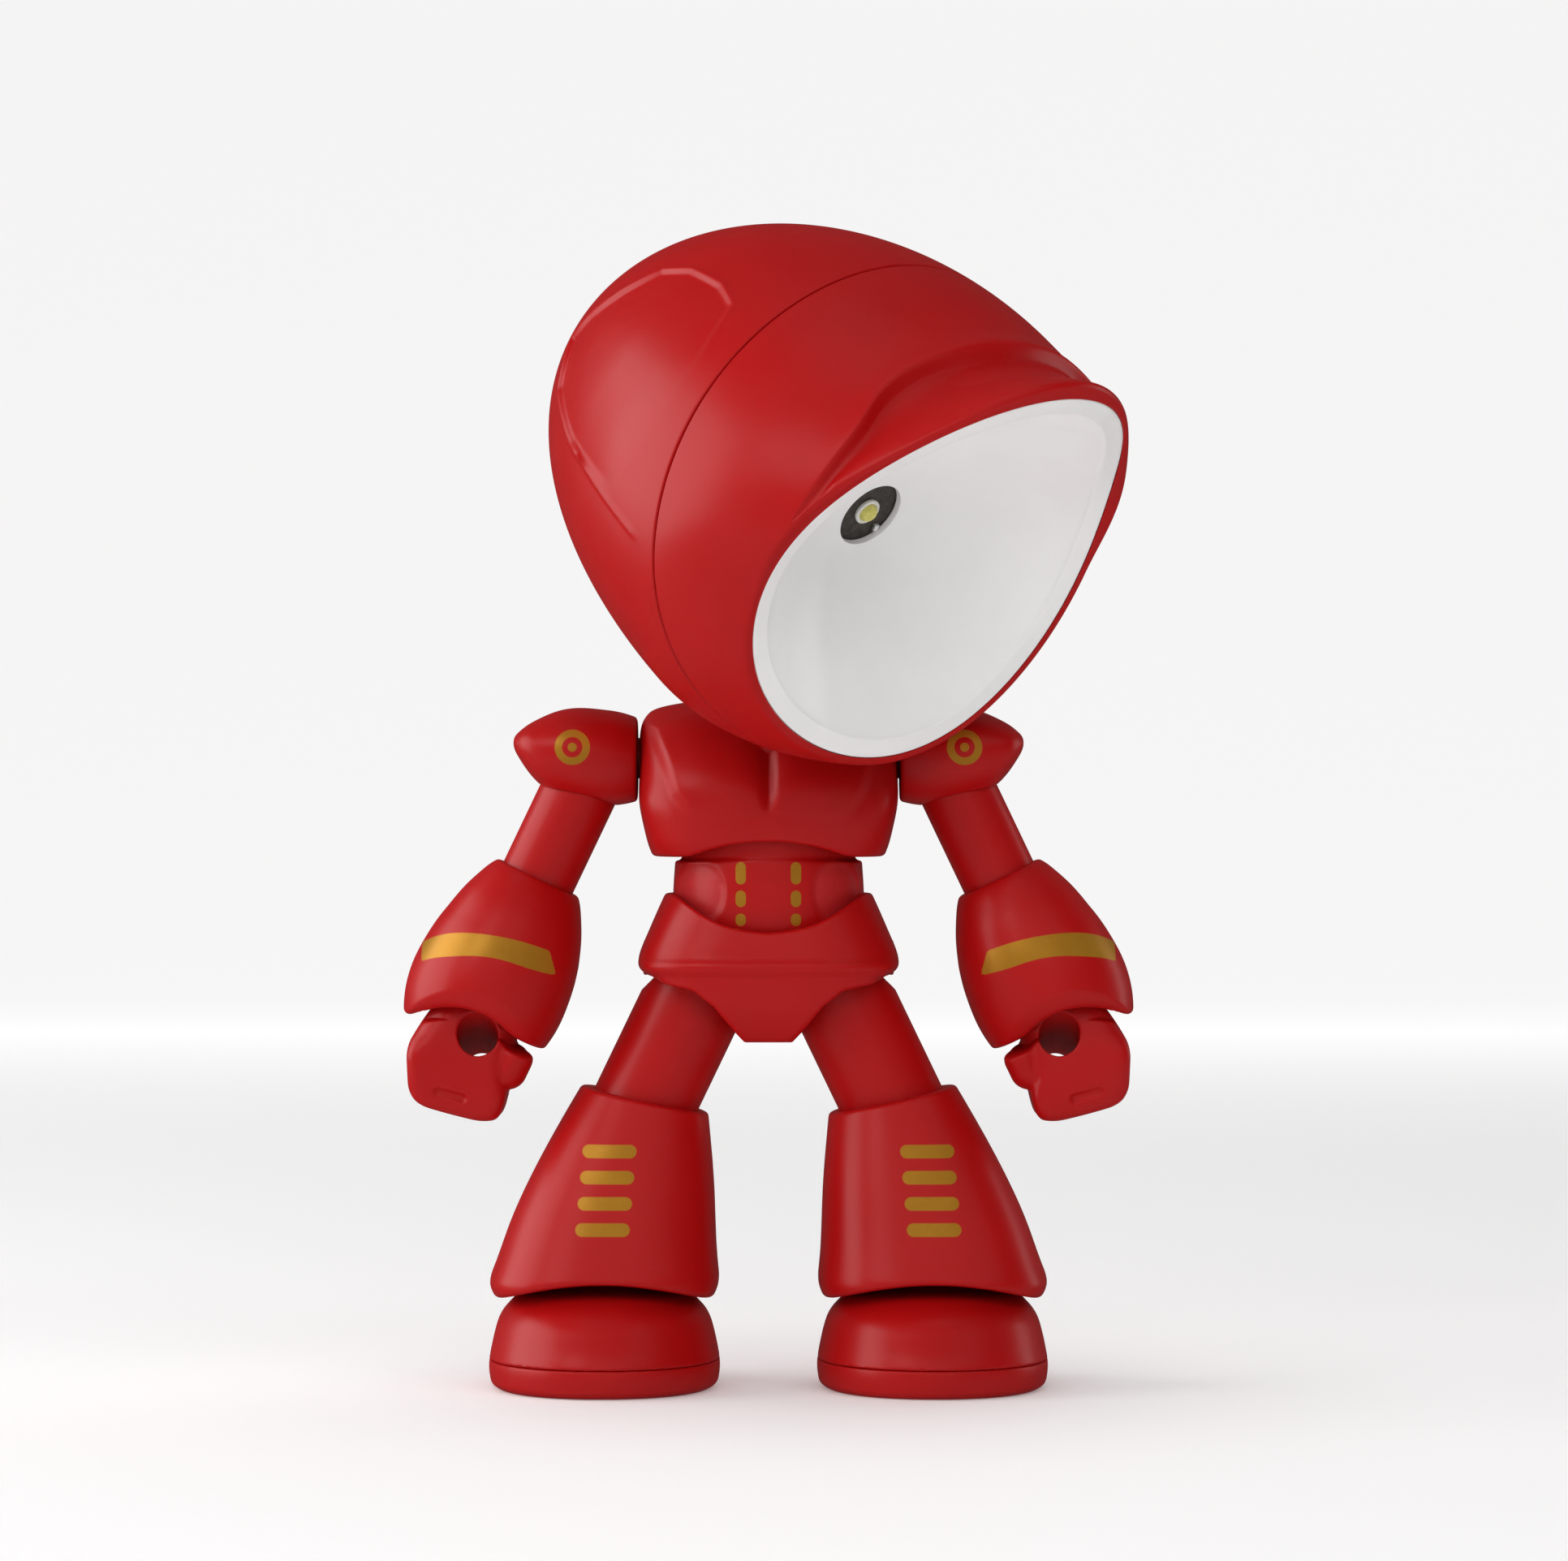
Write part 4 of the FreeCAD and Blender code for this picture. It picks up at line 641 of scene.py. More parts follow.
    # back of the flange and outside
    flange_back = sr - 2.4
    ring_at(bowl_r(flange_back) + 1.3, flange_back)
    ring_at(egg(p, flange_back - SM)[0] - wall(flange_back - SM) - 0.20, flange_back)
    ring_at(egg(p, flange_back - SM + 0.15)[0] - wall(flange_back - SM + 0.15) - 0.08, flange_back + 0.15)
    ring_at(r_in - 0.02, sr - 0.55)
    ring_at(r_in - 0.02, sr - 0.30)
    ring_at(r_in - 0.08, sr - 0.18)
    for k in range(9):
        f = k / 8
        ring_at(r_in - 0.18 - 2.10 * f, sr - 0.14 - 0.42 * f)
    ring_at(r_in - 2.38, sr - 0.62)
    ring_at(r_in - 2.46, sr - 0.78)
    ring_at(r_in - 2.50, sr - 1.00)
    nb = 120
    for k in range(1, nb):
        f = 1 - k / nb
        s = -15.0 + (sr - 1.0 + 15.0) * (f ** 1.75)
        r = hole + 0.12 + (r_in - 2.5 - hole - 0.12) * f
        if k < 2:
            r = r - 0.03
        ring_at(r, s, hb * (1 - f) ** 4)
    ring_at(np.full(NP, hole + 0.04), -15.03, hb)
    ring_at(np.full(NP, hole), -15.12, hb)
    ring_at(np.full(NP, hole), -15.85, hb)
    ring_at(np.full(NP, hole + 0.15), -15.95, hb)
    for k in range(1, 40):
        f = k / 40
        s = -15.95 + (flange_back + 15.95) * (f ** 1.75)
        ring_at(5.0 + (bowl_r(flange_back) + 1.0 - 5.0) * f, s, hb * (1 - f) ** 4)
    v, q = torus([to_body(r) for r in rows])
    o = mesh_object("lamp_bowl", v, q)
    o.data.set_sharp_from_angle(angle=rad(50))
    finish(o, WHITE_BOWL, "head", ["reflector"])

    # LED, resistor and button in the head's own axes: x = a, y = b, z = s
    def to_head(p, q):
        return turned(p, q, HO, HR, HU, HF)
    prof = [(0, -15.98), (1.62, -15.98), (1.68, -15.92), (1.68, -15.62), (1.60, -15.52), (1.42, -15.46), (1.26, -15.50), (1.2, -15.6), (0, -15.62)]
    v, q = lathe(smooth_profile(prof, 0.06), 96)
    v[:, 1] -= 0.9
    v, q = to_head(v, q)
    o = mesh_object("led_case", v, q)
    finish(o, LED_WHITE, "head", ["led_package"])
    prof = [(0, -15.63), (1.18, -15.63)] + [(1.18 * cos(a), -15.58 + 0.95 * sin(a)) for a in np.radians(np.arange(0, 90, 7.5))] + [(0, -14.63)]
    v, q = lathe(prof, 96)
    v[:, 1] -= 0.9
    v, q = to_head(v, q)
    o = mesh_object("led_glow_window", v, q)
    finish(o, PHOS, "head", ["led_window"])
    v, q = to_head(*grown(lambda x, y, z: smin(smax(smax(np.abs(x - 2.6) - 0.50, np.abs(y + 3.5) - 0.40, 0.1), np.abs(z + 15.77) - 0.23, 0.1),
                                               smax(smax(np.abs(x - 2.6) - 0.34, np.abs(y + 3.5) - 0.36, 0.08), np.abs(z + 15.74) - 0.25, 0.08), 0.02),
                          (1.9, -4.1, -16.2), (3.3, -2.9, -15.3), 0.045))
    o = mesh_object("chip_resistor", v, q)
    attribute(o, "cap_edge", np.abs((v - HO) @ HR - 2.6) - 0.33)
    finish(o, CHIP, "head", ["led_resistor"])
    # push button: domed cap with a rim groove, on its stem
    zp = -62.6
    prof = [(0, zp - 1.0), (1.2, zp - 0.98), (2.4, zp - 0.86), (3.1, zp - 0.70), (3.5, zp - 0.50), (3.72, zp - 0.25), (3.8, zp + 0.05),
            (3.8, zp + 2.55), (4.55, zp + 2.62), (4.75, zp + 2.75), (4.75, zp + 3.45), (4.6, zp + 3.6), (1.6, zp + 3.6), (1.5, zp + 3.75),
            (1.5, zp + 8.1), (0, zp + 8.2)]
    v, q = lathe([(r, -z) for r, z in prof], 96)
    v[:, 2] *= -1
    q = [f[:, ::-1] for f in q]
    v[:, 1] += DROP
    v, q = to_head(v, q)
    o = mesh_object("button_cap", v, q)
    o.data.set_sharp_from_angle(angle=rad(40))
    finish(o, RED_SATIN, "push_button", ["switch_button"])

def chip_material():
    m, nt, b = material("chip_resistor_body")
    c = coords(nt)
    at = node(nt, "ShaderNodeAttribute", attribute_name="cap_edge", attribute_type="GEOMETRY")
    w = mapped(nt, at.outputs["Fac"], -0.03, 0.03, 0.0, 1.0, True)
    body = mix_colour(nt, noise(nt, c, 3000.0), (0.80, 0.80, 0.78), (0.66, 0.66, 0.64))
    nt.links.new(mix_colour(nt, w, body, (0.62, 0.61, 0.58)), b.inputs["Base Color"])
    nt.links.new(w, b.inputs["Metallic"])
    b.inputs["Roughness"].default_value = 0.35
    bump(nt, b, noise(nt, c, 6000.0), 0.2, 0.00003)
    return m
CHIP = chip_material()

# ------------------------------------------------------------------------------ the torso
_chest = stack([(64.9, -14.2, 14.2, -12.4, 10.4, 2.8), (66.2, -14.7, 14.7, -13.1, 10.9, 3.0), (68.5, -15.3, 15.3, -13.6, 11.3, 3.2),
                (71.5, -15.85, 15.85, -13.8, 11.6, 3.6), (75.0, -15.85, 15.85, -13.2, 11.6, 3.6), (78.0, -15.85, 15.85, -11.4, 11.0, 3.4),
                (80.5, -15.75, 15.75, -9.0, 9.8, 3.0), (82.4, -14.9, 14.9, -6.6, 8.2, 2.6), (83.5, -12.4, 12.4, -4.6, 6.4, 2.4),
                (84.1, -8.8, 8.8, -3.4, 4.6, 2.2)])
PEC = [(-14.5, 81.2), (-12.9, 77.2), (-11.4, 72.6), (-9.6, 70.0), (-4.5, 69.0), (-0.5, 70.4), (-0.4, 82.5), (-6.0, 84.5)]
def chest(x, y, z):
    pec = step(-polygon(PEC, -np.abs(x), z), -0.9, 0.9)
    dip = 0.85 * (1 - pec) * step(z, 68.5, 73.5) + 0.75 * np.exp(-(x / 2.0) ** 2) * step(z, 70.0, 76.0)
    f = _chest(x, y - dip * step(-y, 1.0, 7.0), z)
    f = smax(f, z - 84.15, 0.5)
    R = (9.5 ** 2 + 1.9 ** 2) / 3.8
    f = smax(f, R - np.sqrt(x * x + (z - 66.9 + R) ** 2), 0.45)
    f = smax(f, 64.95 - z, 0.5)
    seam = smax(np.abs(y) - 0.09, -f - 0.22, 0.03)
    f = smax(f, -seam, 0.05)
    cav = smax(smax(_chest(x, y, z, -2.0), z - 81.8, 0.4), 69.2 - z, 0.4)
    f = np.maximum(f, -cav)
    f = np.maximum(f, -smax(np.sqrt(x * x + y * y) - 11.0, z - 68.4, 0.1))
    f = np.maximum(f, -smax(np.sqrt(x * x + y * y) - 4.2, z - 72, 0.1))
    # neck bush, on its leaning axis
    ny, nz = -sin(NECK_TILT), cos(NECK_TILT)
    t = -((y - NECK_BALL[1]) * ny + (z - NECK_BALL[2]) * nz)
    r = np.sqrt(np.maximum(x * x + (y - NECK_BALL[1]) ** 2 + (z - NECK_BALL[2]) ** 2 - t * t, 0))
    f = np.minimum(f, smax(smax(r - 5.4, np.abs(t - 11.6) - 4.6, 0.1), _chest(x, y, z, -0.45), 0.1))
    f = np.maximum(f, -smax(r - 4.02, t - 16.4, 0.06))
    f = np.maximum(f, -smax(r - 5.12, np.abs(t - 17.95) - 1.95, 0.06))
    # shoulder pins, and the two screws that close the chest from behind
    f = np.maximum(f, -smax(np.sqrt(y * y + (z - 77) ** 2) - 2.56, 8 - np.abs(x), 0.05))
    rs = np.sqrt((np.abs(x) - 7.2) ** 2 + (z - 79.2) ** 2)
    f = np.minimum(f, smax(smax(rs - 2.4, np.abs(y - 7.0) - 1.8, 0.1), _chest(x, y, z, -0.3), 0.1))
    f = np.maximum(f, -smax(rs - 1.7, 7.4 - y, 0.08))
    return f

_abdomen = stack([(54.6, -11.2, 11.2, -10.5, 10.5, 2.2), (58.0, -11.7, 11.7, -10.9, 10.9, 2.2), (61.5, -11.7, 11.7, -10.9, 10.9, 2.2),
                  (64.4, -11.5, 11.5, -10.7, 10.7, 2.1)])
def patch(x, z):
    """soft oval pad at each side of the abdomen"""
    return np.sqrt(((np.abs(x) - 8.3) / 2.9) ** 2 + ((z - 60.6) / 3.6) ** 2) - 1
def abdomen(x, y, z):
    g = patch(x, z) * 2.9
    dip = 0.32 * step(-g, -0.5, 0.5) * step(-y, 2.0, 5.0)
    f = _abdomen(x, y, z) + dip
    f = smax(smax(f, z - 64.4, 0.35), 54.6 - z, 0.3)
    f = smin(f, smax(smax(np.sqrt(x * x + y * y) - 10.65, z - 68.0, 0.25), 62.5 - z, 0.1), 0.75)
    f = np.maximum(f, -ball(np.abs(x), y, z, 6.75, (6.9, 0, 52)))
    return np.maximum(f, -smax(np.sqrt(x * x + y * y) - 4.0, 66.0 - z, 0.05))

_skirt = stack([(50.3, -14.6, 14.6, -12.2, 11.3, 2.9), (51.0, -15.6, 15.6, -13.2, 12.1, 3.0), (52.2, -16.0, 16.0, -13.5, 12.4, 3.0),
                (55.2, -15.0, 15.0, -13.0, 12.1, 2.8), (58.2, -13.7, 13.7, -12.4, 11.8, 2.6), (60.4, -12.7, 12.7, -11.9, 11.6, 2.4)])
_skirt_in = stack([(49.8, -15.0, 15.0, -11.7, 10.6, 3.4), (52.4, -15.05, 15.05, -11.7, 10.6, 3.4), (56.0, -12.6, 12.6, -11.0, 10.2, 2.8)])
BRIEF = [(-14.4, 51.5), (-12.6, 49.7), (-9.1, 48.7), (-6.6, 46.8), (-4.1, 43.7), (-2.9, 42.4),
         (2.9, 42.4), (4.1, 43.7), (6.6, 46.8), (9.1, 48.7), (12.6, 49.7), (14.4, 51.5)]
_brief = stack([(42.0, -15.2, 15.2, -9.4, 8.6, 2.8), (45.0, -15.6, 15.6, -11.6, 10.4, 2.9), (48.6, -15.85, 15.85, -12.9, 11.7, 2.95),
                (52.3, -15.85, 15.85, -13.35, 12.25, 3.0)])
_belt = spline([0, 2.0, 5.2, 7.8, 10.2, 11.9, 13.2], [55.8, 56.0, 56.7, 57.9, 59.5, 60.45, 60.6])
LX = 25.7
def pelvis(x, y, z):
    ax = np.abs(x)
    top = np.where(y < 0, _belt(ax), 60.4)
    w = step(-y, 2.0, 6.0)
    top = 60.4 + (np.minimum(_belt(ax), 60.4) - 60.4) * w
    sk = smax(_skirt(x, y, z), z - top, 0.35)
    sk = smax(sk, 50.35 - z, 0.35)
    inner = smax(_skirt_in(x, y, z), z - 56.0, 0.3)
    sk = np.maximum(sk, -inner)
    br = smax(smax(polygon(BRIEF, x, z), z - 51.4, 0.1), _brief(x, y, z), 0.7)
    f = smin(sk, br, 1.8)
    ab = smax(smax(_abdomen(x, y, z, 0.02), z - 64.4, 0.1), 54.5 - z, 0.05)
    f = np.maximum(f, -ab)
    dx, dz = sin(rad(LX)), -cos(rad(LX))
    # the thighs' path: a fan of cylinders about the hip axle
    d = np.full(np.broadcast_shapes(x.shape, y.shape, z.shape), 1e9)
    for a in np.linspace(-22, 22, 7):
        d1 = np.array([dx, -dz * sin(rad(a)), dz * cos(rad(a))])
        px, py, pz = ax - 6.9, y, z - 52.0
        t = px * d1[0] + py * d1[1] + pz * d1[2]
        r = np.sqrt(np.maximum(px * px + py * py + pz * pz - np.where(t > 0, t * t, 0), 0))
        d = np.minimum(d, r - 6.75)
    f = smax(f, -d, 0.18)
    f = np.minimum(f, smax(np.sqrt(y * y + (z - 52.4) ** 2) - 2.1, np.abs(ax - 14.45) - 0.95, 0.1))
    return np.maximum(f, -smax(np.sqrt(y * y + (z - 52) ** 2) - 1.52, ax - 15.02, 0.02))

def thigh(x, y, z):
    # right leg: along its own axis from the hip centre
    dx, dz = -sin(rad(LX)), -cos(rad(LX))
    px, pz = x + 6.9, z - 52
    t = px * dx + pz * dz
    r = np.sqrt(np.maximum(px * px + y * y + pz * pz - np.where(t > 0, t * t, 0), 0))
    f = smax(r - 6.35, t - 20.5, 0.3)
    f = smax(f, -smax(np.sqrt(y * y + pz * pz) - 3.4, x + 13.3, 0.1), 0.1)
    f = smax(f, x + 0.6 + np.where(z < 46.5, -9.0, 0), 0.1)
    return np.maximum(f, -(np.sqrt(y * y + pz * pz) - 1.55))

_boot = stack([(10.9, -33.4, -6.8, -14.5, 11.2, 2.7), (12.4, -34.1, -6.2, -15.0, 11.6, 2.7), (14.9, -33.6, -6.2, -14.5, 11.3, 2.7),
               (19.9, -31.8, -6.5, -12.9, 10.5, 2.6), (24.9, -29.6, -6.7, -11.4, 9.7, 2.5), (29.9, -27.0, -7.1, -9.8, 8.9, 2.4),
               (35.15, -24.0, -7.6, -8.1, 8.1, 2.3), (38.0, -22.3, -7.9, -7.3, 7.6, 2.3)])
_boot_in = stack([(9.0, -31.6, -8.6, -12.7, 9.4, 2.7), (14.5, -31.6, -8.6, -12.7, 9.4, 2.7), (19.9, -29.6, -8.6, -10.9, 8.6, 2.6),
                  (24.5, -27.2, -8.9, -9.2, 7.6, 2.5)])
def boot(x, y, z):
    f = _boot(x, y, z)
    f = smax(f, (z - 35.15 + 0.2215 * (x + 15.6)) * 0.976, 0.45)
    f = smax(f, 37.0 - np.sqrt((x + 20.1) ** 2 + (z + 23.7) ** 2), 0.8)
    f = smax(f, 10.7 - z, 0.4)
    cav = smax(_boot_in(x, y, z), z - 24.4, 0.4)
    return smax(f, -cav, 0.1)

_foot = stack([(z, -20.1 - a, -20.1 + a, y0, y1, n) for z, a, y0, y1, n in
               [(0.0, 12.9, -18.3, 12.8, 2.15), (0.35, 13.5, -19.0, 13.5, 2.15), (1.2, 14.0, -19.6, 14.1, 2.15), (2.6, 14.15, -19.8, 14.3, 2.15),
                (3.5, 14.1, -19.7, 14.2, 2.15), (5.0, 13.85, -19.2, 13.9, 2.15), (7.4, 13.3, -17.9, 12.9, 2.15), (9.6, 12.3, -16.2, 11.8, 2.15),
                (11.0, 11.0, -13.9, 10.0, 2.1), (12.0, 9.0, -10.8, 7.8, 2.05), (12.5, 6.4, -7.2, 5.4, 2.0)]])
def foot(x, y, z):
    f = smax(_foot(x, y, z), z - 12.52, 0.5)
    f = smax(f, 3.55 - z, 0.07)
    f = np.minimum(f, cylinder(x, y, z, 2.3, (-20.1, 0, 10), (-20.1, 0, 17)))
    f = np.minimum(f, ball(x, y, z, 4.0, (-20.1, 0, 17)))
    return np.maximum(f, -smax(np.sqrt((x + 20.1) ** 2 + (y + 9) ** 2) - 0.9, z - 8.5, 0.02))
def sole(x, y, z):
    f = smax(_foot(x, y, z), z - 3.5, 0.07)
    f = smax(f, -z, 0.12)
    r = np.sqrt((x + 20.1) ** 2 + (y + 9) ** 2)
    f = smax(f, -smax(r - 2.1, z - 1.6, 0.05), 0.08)
    f = np.maximum(f, -(r - 0.95))
    # shallow tread on the underside, inside a plain border
    border = _foot(x, y, z) + 2.4
    lines = np.abs(((y + 2.7) % 3.0) - 1.5) - 0.35
    tread = smax(smax(lines, border, 0.2), z - 0.45, 0.1)
    tread = smax(tread, 3.3 - r, 0.2)
    return smax(f, -tread, 0.1)

# ------------------------------------------------------------------------------ the arm
AP = np.array([-24.0, 0.0, 71.5])
AD = np.array([-sin(rad(25.5)), 0.0, -cos(rad(25.5))])
AN = np.array([cos(rad(25.5)), 0.0, -sin(rad(25.5))])
AY = np.array([0.0, 1.0, 0.0])
_pad = stack([(-x, z0, z1, -yh, yh, 2.22) for x, z0, z1, yh in
              [(-16.15, 71.7, 82.0, 6.2), (-18.0, 71.3, 82.6, 6.9), (-20.5, 71.2, 83.0, 7.5), (-23.2, 71.6, 83.2, 7.8),
               (-26.0, 72.5, 82.8, 7.6), (-28.4, 74.0, 81.8, 6.8), (-30.2, 76.2, 80.7, 5.4), (-31.3, 78.0, 79.7, 3.4)]])
def pad(x, y, z):
    f = smax(_pad(z, y, -x), -x - 31.35, 0.5)
    f = smax(f, x + 16.15, 0.45)
    p = AP + AD * -4.0
    q = AP + AD * 14.0
    f = smax(f, -cylinder(x, y, z, 4.74, p, q), 0.15)
    return np.maximum(f, -cylinder(x, y, z, 2.52, (-21, 0, 77), (-10, 0, 77)))

_cuff = spline([10.2, 10.8, 12.4, 14.6, 17.0, 20.0, 23.0, 25.7, 28.0, 30.0, 31.2, 32.4], [5.45, 5.9, 6.8, 7.8, 8.6, 9.35, 9.75, 9.85, 9.6, 9.1, 8.65, 8.1])
def arch(n):
    """the cuff's lower edge over the back and front of the hand"""
    return 36.9 - np.sqrt(np.maximum(81.0 - (n - 1.4) ** 2, 0))
def cuff(n, y, t):
    nn = n - 0.35 * np.clip((t - 10) / 8.0, 0, 1)
    f = np.sqrt(nn * nn + y * y) - _cuff(t) + 0.85 * step(t - arch(n), -2.6, 0.2)
    f = smax(smax(f, 10.2 - t, 0.35), t - 32.2, 0.5)
    f = smax(f, 9.0 - np.sqrt((n - 1.4) ** 2 + (t - 36.9) ** 2), 1.2)
    f = smax(f, np.minimum(n - 5.0, t - 29.0), 0.5)
    r = np.sqrt(n * n + y * y)
    f = np.maximum(f, -smax(r - 4.8, t - 13.0, 0.05))
    f = np.maximum(f, -smax(r - 7.3, 21.2 - t, 0.1))
    return np.maximum(f, -smax(r - 3.9, 19.6 - t, 0.02))

DIP = 29.0
GRIP, WRIST, SWING = (2.9, 33.0), 23.4, 12.0
FIST = [(-4.2, 25.6), (-4.6, 27.5), (-5.2, 30.0), (-5.6, 32.0), (-5.6, 35.6), (-2.9, 40.8), (-1.0, 41.9), (7.2, 40.0), (8.6, 38.8),
        (8.9, 36.8), (8.2, 34.4), (7.5, 32.5), (7.0, 30.0), (6.0, 27.8), (4.8, 26.4), (4.2, 25.6)]
FIST_Y = [(-4.3, 25.6), (-4.7, 27.6), (-5.7, 30.5), (-5.8, 38.2), (-4.4, 42.0), (4.0, 42.0), (5.6, 38.5), (5.7, 30.5),
          (4.7, 27.6), (4.3, 25.6)]
def rounded(points, u, v, k):
    """convex outline with its corners softened"""
    P = np.array(points, float)
    c = P.mean(0)
    m = None
    for a, b in zip(P, np.roll(P, -1, axis=0)):
        n = np.array([b[1] - a[1], a[0] - b[0]])
        n /= np.linalg.norm(n)
        n *= 1 if n @ (a - c) > 0 else -1
        d = (u - a[0]) * n[0] + (v - a[1]) * n[1]
        m = d if m is None else smax(m, d, k)
    return m
def fist(n, y, t):
    f = smax(rounded(FIST, n, t, 0.8), rounded(FIST_Y, y, t, 0.8), 3.2 - 1.6 * step(t, 33.0, 37.0))
    # fingers: three shallow furrows over the outer side
    for yc in (-2.9, 0.0, 2.9):
        fur = np.sqrt((y - yc) ** 2 * 2.2 + (n + 6.1) ** 2) - 0.75
        f = smax(f, -fur, 0.35)
    thumb = np.minimum(capsule(n, y, t, 2.4, (6.9, -3.0, 31.4), (6.9, -2.9, 33.0)), capsule(n, y, t, 2.2, (6.8, -2.6, 31.6), (6.4, 1.2, 32.0)))
    f = smin(f, thumb, 0.5)
    # crease between palm and thumb, and the nail-shaped notch low on the front
    crease = np.minimum(capsule(n, y, t, 0.45, (5.3, -5.8, 29.8), (6.9, -5.75, 34.4)), capsule(n, y, t, 0.55, (0.4, -5.65, 39.0), (3.4, -5.65, 38.4)))
    f = smax(f, -crease, 0.35)
    # clear of the cuff at every angle the wrist reaches
    lim = np.minimum(np.minimum(arch(n), 32.2), np.where(n > 5.0, 29.0, 99.0)) + 0.45 - WRIST
    for a in np.linspace(-SWING, SWING, 5):
        ca, sa = cos(rad(a)), sin(rad(a))
        yy, tt = y * ca + (t - WRIST) * sa, (t - WRIST) * ca - y * sa
        f = smax(f, np.minimum(np.sqrt(n * n + yy * yy) - 6.9, lim - tt), 0.3)
    knuckle = smax(np.sqrt((t - WRIST) ** 2 + y * y) - 1.7, np.abs(n) - 2.5, 0.15)
    web = smax(smax(np.abs(n) - 2.5, np.abs(y) - 1.7, 0.2), np.abs(t - 25.5) - 2.1, 0.2)
    f = smin(f, np.minimum(knuckle, web), 0.25)
    # grip: along y in the body, dipping to the rear
    hd = np.array([-sin(rad(DIP)) * AN[2], cos(rad(DIP)), -sin(rad(DIP)) * AD[2]])
    c = np.array([GRIP[0], 0.0, GRIP[1]])
    k = (n - c[0]) * hd[0] + (y - c[1]) * hd[1] + (t - c[2]) * hd[2]
    r = np.sqrt(np.maximum((n - c[0]) ** 2 + y * y + (t - c[2]) ** 2 - k * k, 0))
    f = smax(f, -(r - 2.5), 0.3)
    return np.maximum(f, -(np.sqrt((t - WRIST) ** 2 + y * y) - 0.85))

def ring_mark(u, v, cu, cv, r0, r1):
    return np.abs(np.hypot(u - cu, v - cv) - (r0 + r1) / 2) - (r1 - r0) / 2

def pill(u, v, cu, cv, hu, hv, r):
    qx, qy = np.abs(u - cu) - hu + r, np.abs(v - cv) - hv + r
    return np.hypot(np.maximum(qx, 0), np.maximum(qy, 0)) + np.minimum(np.maximum(qx, qy), 0) - r

def both(name, pq, mat, body, nodes, sharp=None, mark=None):
    for side in "rl":
        p, q = pq if side == "r" else (flip_x(*pq) if not isinstance(pq[1], list) else (pq[0] * [-1, 1, 1], [f[:, ::-1] for f in pq[1]]))
        o = mesh_object("%s_%s" % (name, side), p, q)
        if mark is not None:
            attribute(o, "print_edge", mark(pq[0]))
        if sharp:
            o.data.set_sharp_from_angle(angle=rad(sharp))
        finish(o, mat, "%s_%s" % (body, side), ["%s_%s" % (n, side) for n in nodes])

